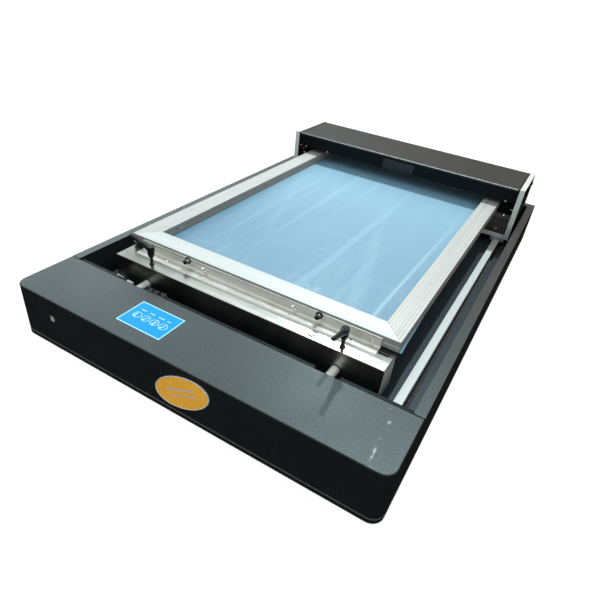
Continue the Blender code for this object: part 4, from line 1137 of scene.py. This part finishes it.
def make_levers():
    """Clamping levers: a moulded grip grown together with its hub, over a steel stud and cap."""
    for side, heading in (("left", -178.0), ("right", -89.0)):
        node = f"clamp_lever_{side}"
        place = pivot(f"{node}_turn")
        angle = math.radians(heading)
        along = Vector((math.cos(angle), math.sin(angle), 0))
        across = Vector((-math.sin(angle), math.cos(angle), 0))

        bm = bmesh.new()
        turned(bm, LEVER_HUB, place, UP, 48)
        rings = []
        for reach, height, half_width, half_height in LEVER_GRIP:
            centre = place + along * reach + UP * height
            points = []
            for index in range(32):
                t = 2 * math.pi * index / 32
                points.append(centre + across * (half_width * squared(math.cos(t)))
                              + UP * (half_height * squared(math.sin(t))))
            rings.append(points)
        loft(bm, rings)
        grip = make_piece(f"lever_grip_{side}", bm, [BLACK_PLASTIC], node)
        remesh = grip.modifiers.new("grow", "REMESH")
        remesh.mode = "VOXEL"
        remesh.voxel_size = 0.4 * MM
        remesh.use_smooth_shade = True
        soften = grip.modifiers.new("soften", "SMOOTH")
        soften.factor = 0.6
        soften.iterations = 7
        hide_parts(node)

        bm = bmesh.new()
        turned(bm, ((3.0, -9.0), (3.0, 0.2)), place, UP, 32, look=1)
        turned(bm, ((3.7, 0.0), (3.8, 0.3), (3.8, 0.9), (3.4, 1.5), (2.6, 1.9)), place, UP, 36, look=0)
        turned(bm, ((2.4, 1.5), (2.4, 6.0), (2.15, 6.2), (2.15, 12.4)), place, UP, 32, look=0)
        screw(bm, place + UP * 27.0, UP, 3.3, 1.6, "slot", 1.0)
        make_piece(f"lever_stud_{side}", bm, [BLACK_SCREW, SCREW_METAL], node)


# Screen frame and film ----------------------------------------------------------------------------
FILM_COLUMNS, FILM_ROWS = 90, 126
FILM_MARGIN, FILM_SAG, SAG_REACH, LOOSE_REACH = 0.4, 0.34, 9.0, 110.0


def make_film():
    """Stencil film stretched under the frame, drawn slightly down where it spans the opening."""
    low, high = limits("mesh_sheet")
    inner_left, inner_right = limits("frame_left_bar")[1].x, limits("frame_right_bar")[0].x
    outer_left, outer_right = limits("frame_left_bar")[0].x, limits("frame_right_bar")[1].x
    inner_front, inner_rear = limits("frame_front_bar")[1].y, limits("frame_rear_bar")[0].y
    random.seed(11)
    waves = [(random.uniform(0.02, 0.05), random.uniform(0, 6.28)) for _ in range(5)]
    bm = bmesh.new()
    grid = []
    for row in range(FILM_ROWS + 1):
        y = low.y + FILM_MARGIN + (high.y - low.y - 2 * FILM_MARGIN) * row / FILM_ROWS
        past_front = max(0.0, 1 - (y - low.y) / LOOSE_REACH)
        ripple = sum(0.25 * math.sin(y * rate * 3 + phase) for rate, phase in waves)
        right = outer_right + 3.4 * past_front ** 1.3 + 0.45 * ripple * past_front ** 0.5
        left = outer_left - 0.8 - 0.3 * math.sin(y * 0.11) * past_front
        line = []
        for column in range(FILM_COLUMNS + 1):
            x = left + (right - left) * column / FILM_COLUMNS
            inside_y = min(y - inner_front, inner_rear - y)
            inside = min(x - inner_left, inner_right - x, inside_y)
            z = high.z - 0.2
            if inside > 0:
                z -= FILM_SAG * (1 - math.exp(-inside / SAG_REACH))
                z += 0.05 * math.sin(x * 0.19 + 0.013 * y) * math.exp(-inside_y / 60.0)
            if x > outer_right:
                z += 0.02 * (x - outer_right) ** 2 * math.sin(y * 0.09)
            line.append(bm.verts.new((x, y, z)))
        grid.append(line)
    for front, rear in zip(grid, grid[1:]):
        for column in range(FILM_COLUMNS):
            bm.faces.new((front[column], front[column + 1], rear[column + 1], rear[column]))
    film = make_piece("stencil_film", bm, [FILM], "clamp_beam", 80.0)
    shell = film.modifiers.new("thickness", "SOLIDIFY")
    shell.thickness = 0.12 * MM
    shell.offset = 0.0
    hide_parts("mesh_sheet")


def make_frame_details():
    """Brown strip seated in the left bar's inner groove, a black disc for its fixing hole as painted shade,
    and a small black spot beside it.
    """
    low, high = limits("frame_left_bar")
    inner = high.x
    groove_z = low.z + 6.8
    bm = bmesh.new()
    # A brown strip laid in the left bar's inner groove.
    slab(bm, (inner - 0.78, low.y + 78.0, groove_z - 0.75), (inner - 0.12, high.y - 42.0, groove_z + 0.75))
    make_piece("groove_strip", bm, [GROOVE_STRIP], "clamp_beam")
    # Painted shade: black discs stand for the dark insides of the holes.
    bm = bmesh.new()
    turned(bm, ((1.5, 0.0), (1.5, 0.12), (1.2, 0.14)), (inner, low.y + 63.9, low.z + 7.5), (1, 0, 0), 24)
    turned(bm, ((0.9, 0.0), (0.9, 0.1)), (inner, low.y + 42.8, low.z + 8.9), (1, 0, 0), 20)
    make_piece("frame_holes", bm, [BLACK_SCREW], "clamp_beam")


# Gantry -------------------------------------------------------------------------------------------
def make_sensor_window():
    """Black sensor window on the front panel."""
    low = limits("gantry_front_panel")[0]
    face = low.y
    bm = bmesh.new()
    outline = [(-37.5, low.z + 0.4), (32.0, low.z + 0.4), (32.0, low.z + 21.0), (-37.5, low.z + 21.0)]
    inner = [(x * 0.985 - 0.03, z + s) for (x, z), s in zip(outline, (0.5, 0.5, -0.5, -0.5))]
    prism(bm, [[(x, face + depth, z) for x, z in corners]
               for depth, corners in ((0.1, outline), (-0.15, outline), (-0.4, inner))])
    make_piece("sensor_window", bm, [GLOSS_BLACK], "gantry")


def make_gantry_edges():
    """Black strips in the gaps beside the end plates, as painted shade, and a pale strip on the top cover's
    front edge, as a painted highlight.
    """
    low, cover_high = limits("gantry_front_panel")[0], limits("gantry_top_cover")[1]
    face = low.y
    bm = bmesh.new()
    # Painted shade: black strips stand for the shaded gaps beside the end plates.
    for _, sign in SIDES:
        x0, x1 = sorted((sign * (cover_high.x - 2.4), sign * cover_high.x))
        slab(bm, (x0, face - 0.25, low.z), (x1, face + 0.5, cover_high.z - 0.6))
        slab(bm, (x0, face + 0.2, cover_high.z - 0.4), (x1, cover_high.y - 0.3, cover_high.z + 0.22))
        slab(bm, (x0, cover_high.y - 0.4, low.z), (x1, cover_high.y + 0.22, cover_high.z - 0.6))
    make_piece("end_gap_strips", bm, [ANODISED_FRONT], "gantry")

    # Painted highlight: a pale metal strip along the rounded front edge of the top cover.
    bm = bmesh.new()
    x, y, z = cover_high.x - 2.6, face, cover_high.z
    profile = ((y - 0.12, z - 1.5), (y - 0.12, z - 0.7), (y + 0.15, z - 0.2), (y + 0.7, z + 0.1),
               (y + 1.3, z + 0.1), (y + 1.2, z - 0.6), (y + 0.6, z - 1.4))
    prism(bm, [[(end, a, b) for a, b in profile] for end in (-x, x)])
    make_piece("cover_edge", bm, [EDGE_HIGHLIGHT_METAL], "gantry")


def make_gantry_screws():
    """Fasteners of the lower plate, the panels and the end plates."""
    low, cover_high = limits("gantry_front_panel")[0], limits("gantry_top_cover")[1]
    plate_top = limits("gantry_lower_plate")[1].z
    face = low.y
    bm = bmesh.new()
    for _, sign in SIDES:
        for y in (819.0, 730.0):
            screw(bm, (sign * 228.0, y, plate_top), UP, 3.4, 1.7, "hex", 1.0)
        inside = sign * (cover_high.x + 0.3)
        screw(bm, (inside, 735.0, 112.0), (-sign, 0, 0), 3.0, 2.6, "hex", 1.6)
        screw(bm, (inside, 744.0, 109.0), (-sign, 0, 0), 2.2, 2.0, "hex", 1.2)
        turned(bm, ((1.8, 0.0), (1.8, 7.0), (1.3, 7.6)), (inside, 735.0, 104.0), (-sign, 0, 0), 20)
    for x in (-243.0, -230.0, -173.0, 230.0):
        screw(bm, (x, face + 0.5, low.z + 0.6), FORWARD, 1.9, 1.1, "slot", 0.6)
    for x in (-210.0, -70.0, 70.0, 210.0):
        for z in (low.z + 5.0, cover_high.z - 5.0):
            screw(bm, (x, cover_high.y - 0.05, z), BACKWARD, 2.6, 1.2, "hex", 0.8)
    make_piece("gantry_screws", bm, [SCREW_METAL], "gantry")

    bm = bmesh.new()
    outside = limits("gantry_end_right")[1].x - 0.02
    places = ((728.0, 53.0), (775.0, 53.0), (822.0, 53.0), (722.0, 138.0), (775.0, 147.0), (828.0, 138.0))
    for _, sign in SIDES:
        for y, z in places:
            screw(bm, (sign * outside, y, z), (sign, 0, 0), 3.4, 1.6, "hex", 1.0)
    make_piece("end_plate_screws", bm, [BLACK_SCREW], "gantry")


def make_heat_line():
    """Dark line along the top of the thermal head."""
    head_low, head_high = limits("thermal_head")
    bm = bmesh.new()
    slab(bm, (head_low.x + 6.0, head_low.y + 8.2, head_high.z - 0.05),
         (head_high.x - 6.0, head_low.y + 10.6, head_high.z + 0.1))
    make_piece("heat_line", bm, [GLOSS_BLACK], "thermal_head")


# Stage --------------------------------------------------------------------------------------------
FLOOR_HALF = 60.0


def make_floor():
    """Wide pale floor that the camera sees evenly lit."""
    look = Look("looks_floor", (0.08, 0.08, 0.08), 0.9)
    look.set("Base Color", look.blend(look.cloud((), 0.8), (0.078, 0.078, 0.078), (0.082, 0.082, 0.082)))
    look.glow((1, 1, 1, 1), 0.94)
    mesh = bpy.data.meshes.new("floor")
    corners = [(x * FLOOR_HALF, y * FLOOR_HALF, 0) for x, y in ((-1, -1), (1, -1), (1, 1), (-1, 1))]
    mesh.from_pydata(corners, [], [(0, 1, 2, 3)])
    mesh.materials.append(look.material)
    floor = add_object("floor", mesh)
    floor.location.z = cad_bounds[0].z - 0.0002
    floor.visible_glossy = False
    floor.visible_diffuse = False


def direction(azimuth, elevation):
    """Unit vector: azimuth from the rear towards the right, elevation above the horizon."""
    a, e = math.radians(azimuth), math.radians(elevation)
    return Vector((math.sin(a) * math.cos(e), math.cos(a) * math.cos(e), math.sin(e)))


def add_light(name, kind, strength, colour):
    light = bpy.data.lights.new(name, kind)
    light.energy = strength
    light.color = colour
    return add_object(name, light)


def make_lamp(name, azimuth, elevation, strength, colour, size):
    """Distant softbox of that angular size, in degrees."""
    lamp = add_light(name, "SUN", strength, colour)
    lamp.data.angle = math.radians(size)
    lamp.rotation_mode = "QUATERNION"
    lamp.rotation_quaternion = direction(azimuth, elevation).to_track_quat("Z", "Y")
    lamp.location = direction(azimuth, elevation) * 3


def make_near_lamp(name, place, power, colour, radius):
    """Softbox that hangs close behind the machine, at a place in machine millimetres."""
    lamp = add_light(name, "POINT", power, colour)
    lamp.data.shadow_soft_size = radius * MM
    lamp.location = at(*place)


def make_world(zenith, horizon_rear, horizon_front, ground, glows):
    """Studio dome: brighter above and behind, with soft glows, and plain white behind the subject."""
    world = bpy.data.worlds.new("studio")
    bpy.context.scene.world = world
    world.use_nodes = True
    tree = world.node_tree
    tree.nodes.clear()

    def node(kind, inputs, output=0, **settings):
        return new_node(tree, kind, inputs, settings).outputs[output]

    def mix(factor, a, b, mode="MIX"):
        inputs = {0: factor, MIX_A: rgba(a), MIX_B: rgba(b)}
        return node("ShaderNodeMix", inputs, MIX_RESULT, data_type="RGBA", blend_type=mode)

    def fade(value, low, high):
        return node("ShaderNodeMapRange", {0: value, 1: low, 2: high}, interpolation_type="SMOOTHSTEP")

    heading = node("ShaderNodeTexCoord", {}, "Generated")
    depth, height = [node("ShaderNodeSeparateXYZ", {0: heading}, axis) for axis in ("Y", "Z")]
    horizon = mix(fade(depth, -0.5, 0.8), horizon_front, horizon_rear)
    sky = mix(fade(height, 0.2, 0.95), horizon, zenith)
    for azimuth, elevation, strength, colour, width in glows:
        cosine = node("ShaderNodeVectorMath", {0: heading, 1: direction(azimuth, elevation)}, "Value",
                      operation="DOT_PRODUCT")
        sharp = 0.693 / (1 - math.cos(math.radians(width)))
        power = node("ShaderNodeMath", {0: cosine, 1: sharp, 2: -sharp}, operation="MULTIPLY_ADD")
        glow = node("ShaderNodeMath", {0: power}, operation="EXPONENT")
        sky = mix(glow, sky, tuple(strength * channel for channel in colour), "ADD")
    sky = mix(fade(height, -0.04, 0.05), ground, sky)
    lit = node("ShaderNodeBackground", {0: sky, 1: 1.0})
    plain = node("ShaderNodeBackground", {0: (1, 1, 1, 1), 1: 1.0})
    seen = node("ShaderNodeLightPath", {}, "Is Camera Ray")
    shader = node("ShaderNodeMixShader", {0: seen, 1: lit, 2: plain})
    new_node(tree, "ShaderNodeOutputWorld", {0: shader}, {})


def make_camera():
    """Camera at the front right, looking down on the machine."""
    camera = add_object("camera", bpy.data.cameras.new("camera"))
    camera.location = (0.32094, -0.74934, 0.48639)
    camera.rotation_euler = [math.radians(angle) for angle in (55.745, -5.410, 30.421)]
    camera.data.sensor_width = 36.0
    camera.data.lens = 30.125
    camera.data.clip_start = 0.01
    camera.data.clip_end = 200.0
    bpy.context.scene.camera = camera


for make in (make_display, make_name_plate, make_data_socket, make_inlet, make_switch_marks, make_loom,
             make_bushes, make_bracket_screws, make_bracket_edge, make_bracket_pads, make_clamp_screws,
             make_levers, make_film, make_frame_details, make_sensor_window, make_gantry_edges,
             make_gantry_screws, make_heat_line, make_floor, make_camera):
    make()

make_near_lamp("lamp_rear", (-276.0, 1154.0, 971.0), 15.6, (0.88, 0.985, 1.0), 28.0)
make_lamp("lamp_top", -3.0, 61.0, 2.0, (0.88, 0.985, 1.0), 2.0)
make_world(zenith=(0.93, 1.0, 1.0), horizon_rear=(0.21, 0.16, 0.138), horizon_front=(0.90, 0.90, 0.86),
           ground=(0.008, 0.008, 0.008),
           glows=((-52.0, 27.0, 3.6, (0.84, 0.97, 1.0), 15.0),))
bpy.context.scene.view_settings.view_transform = "Standard"
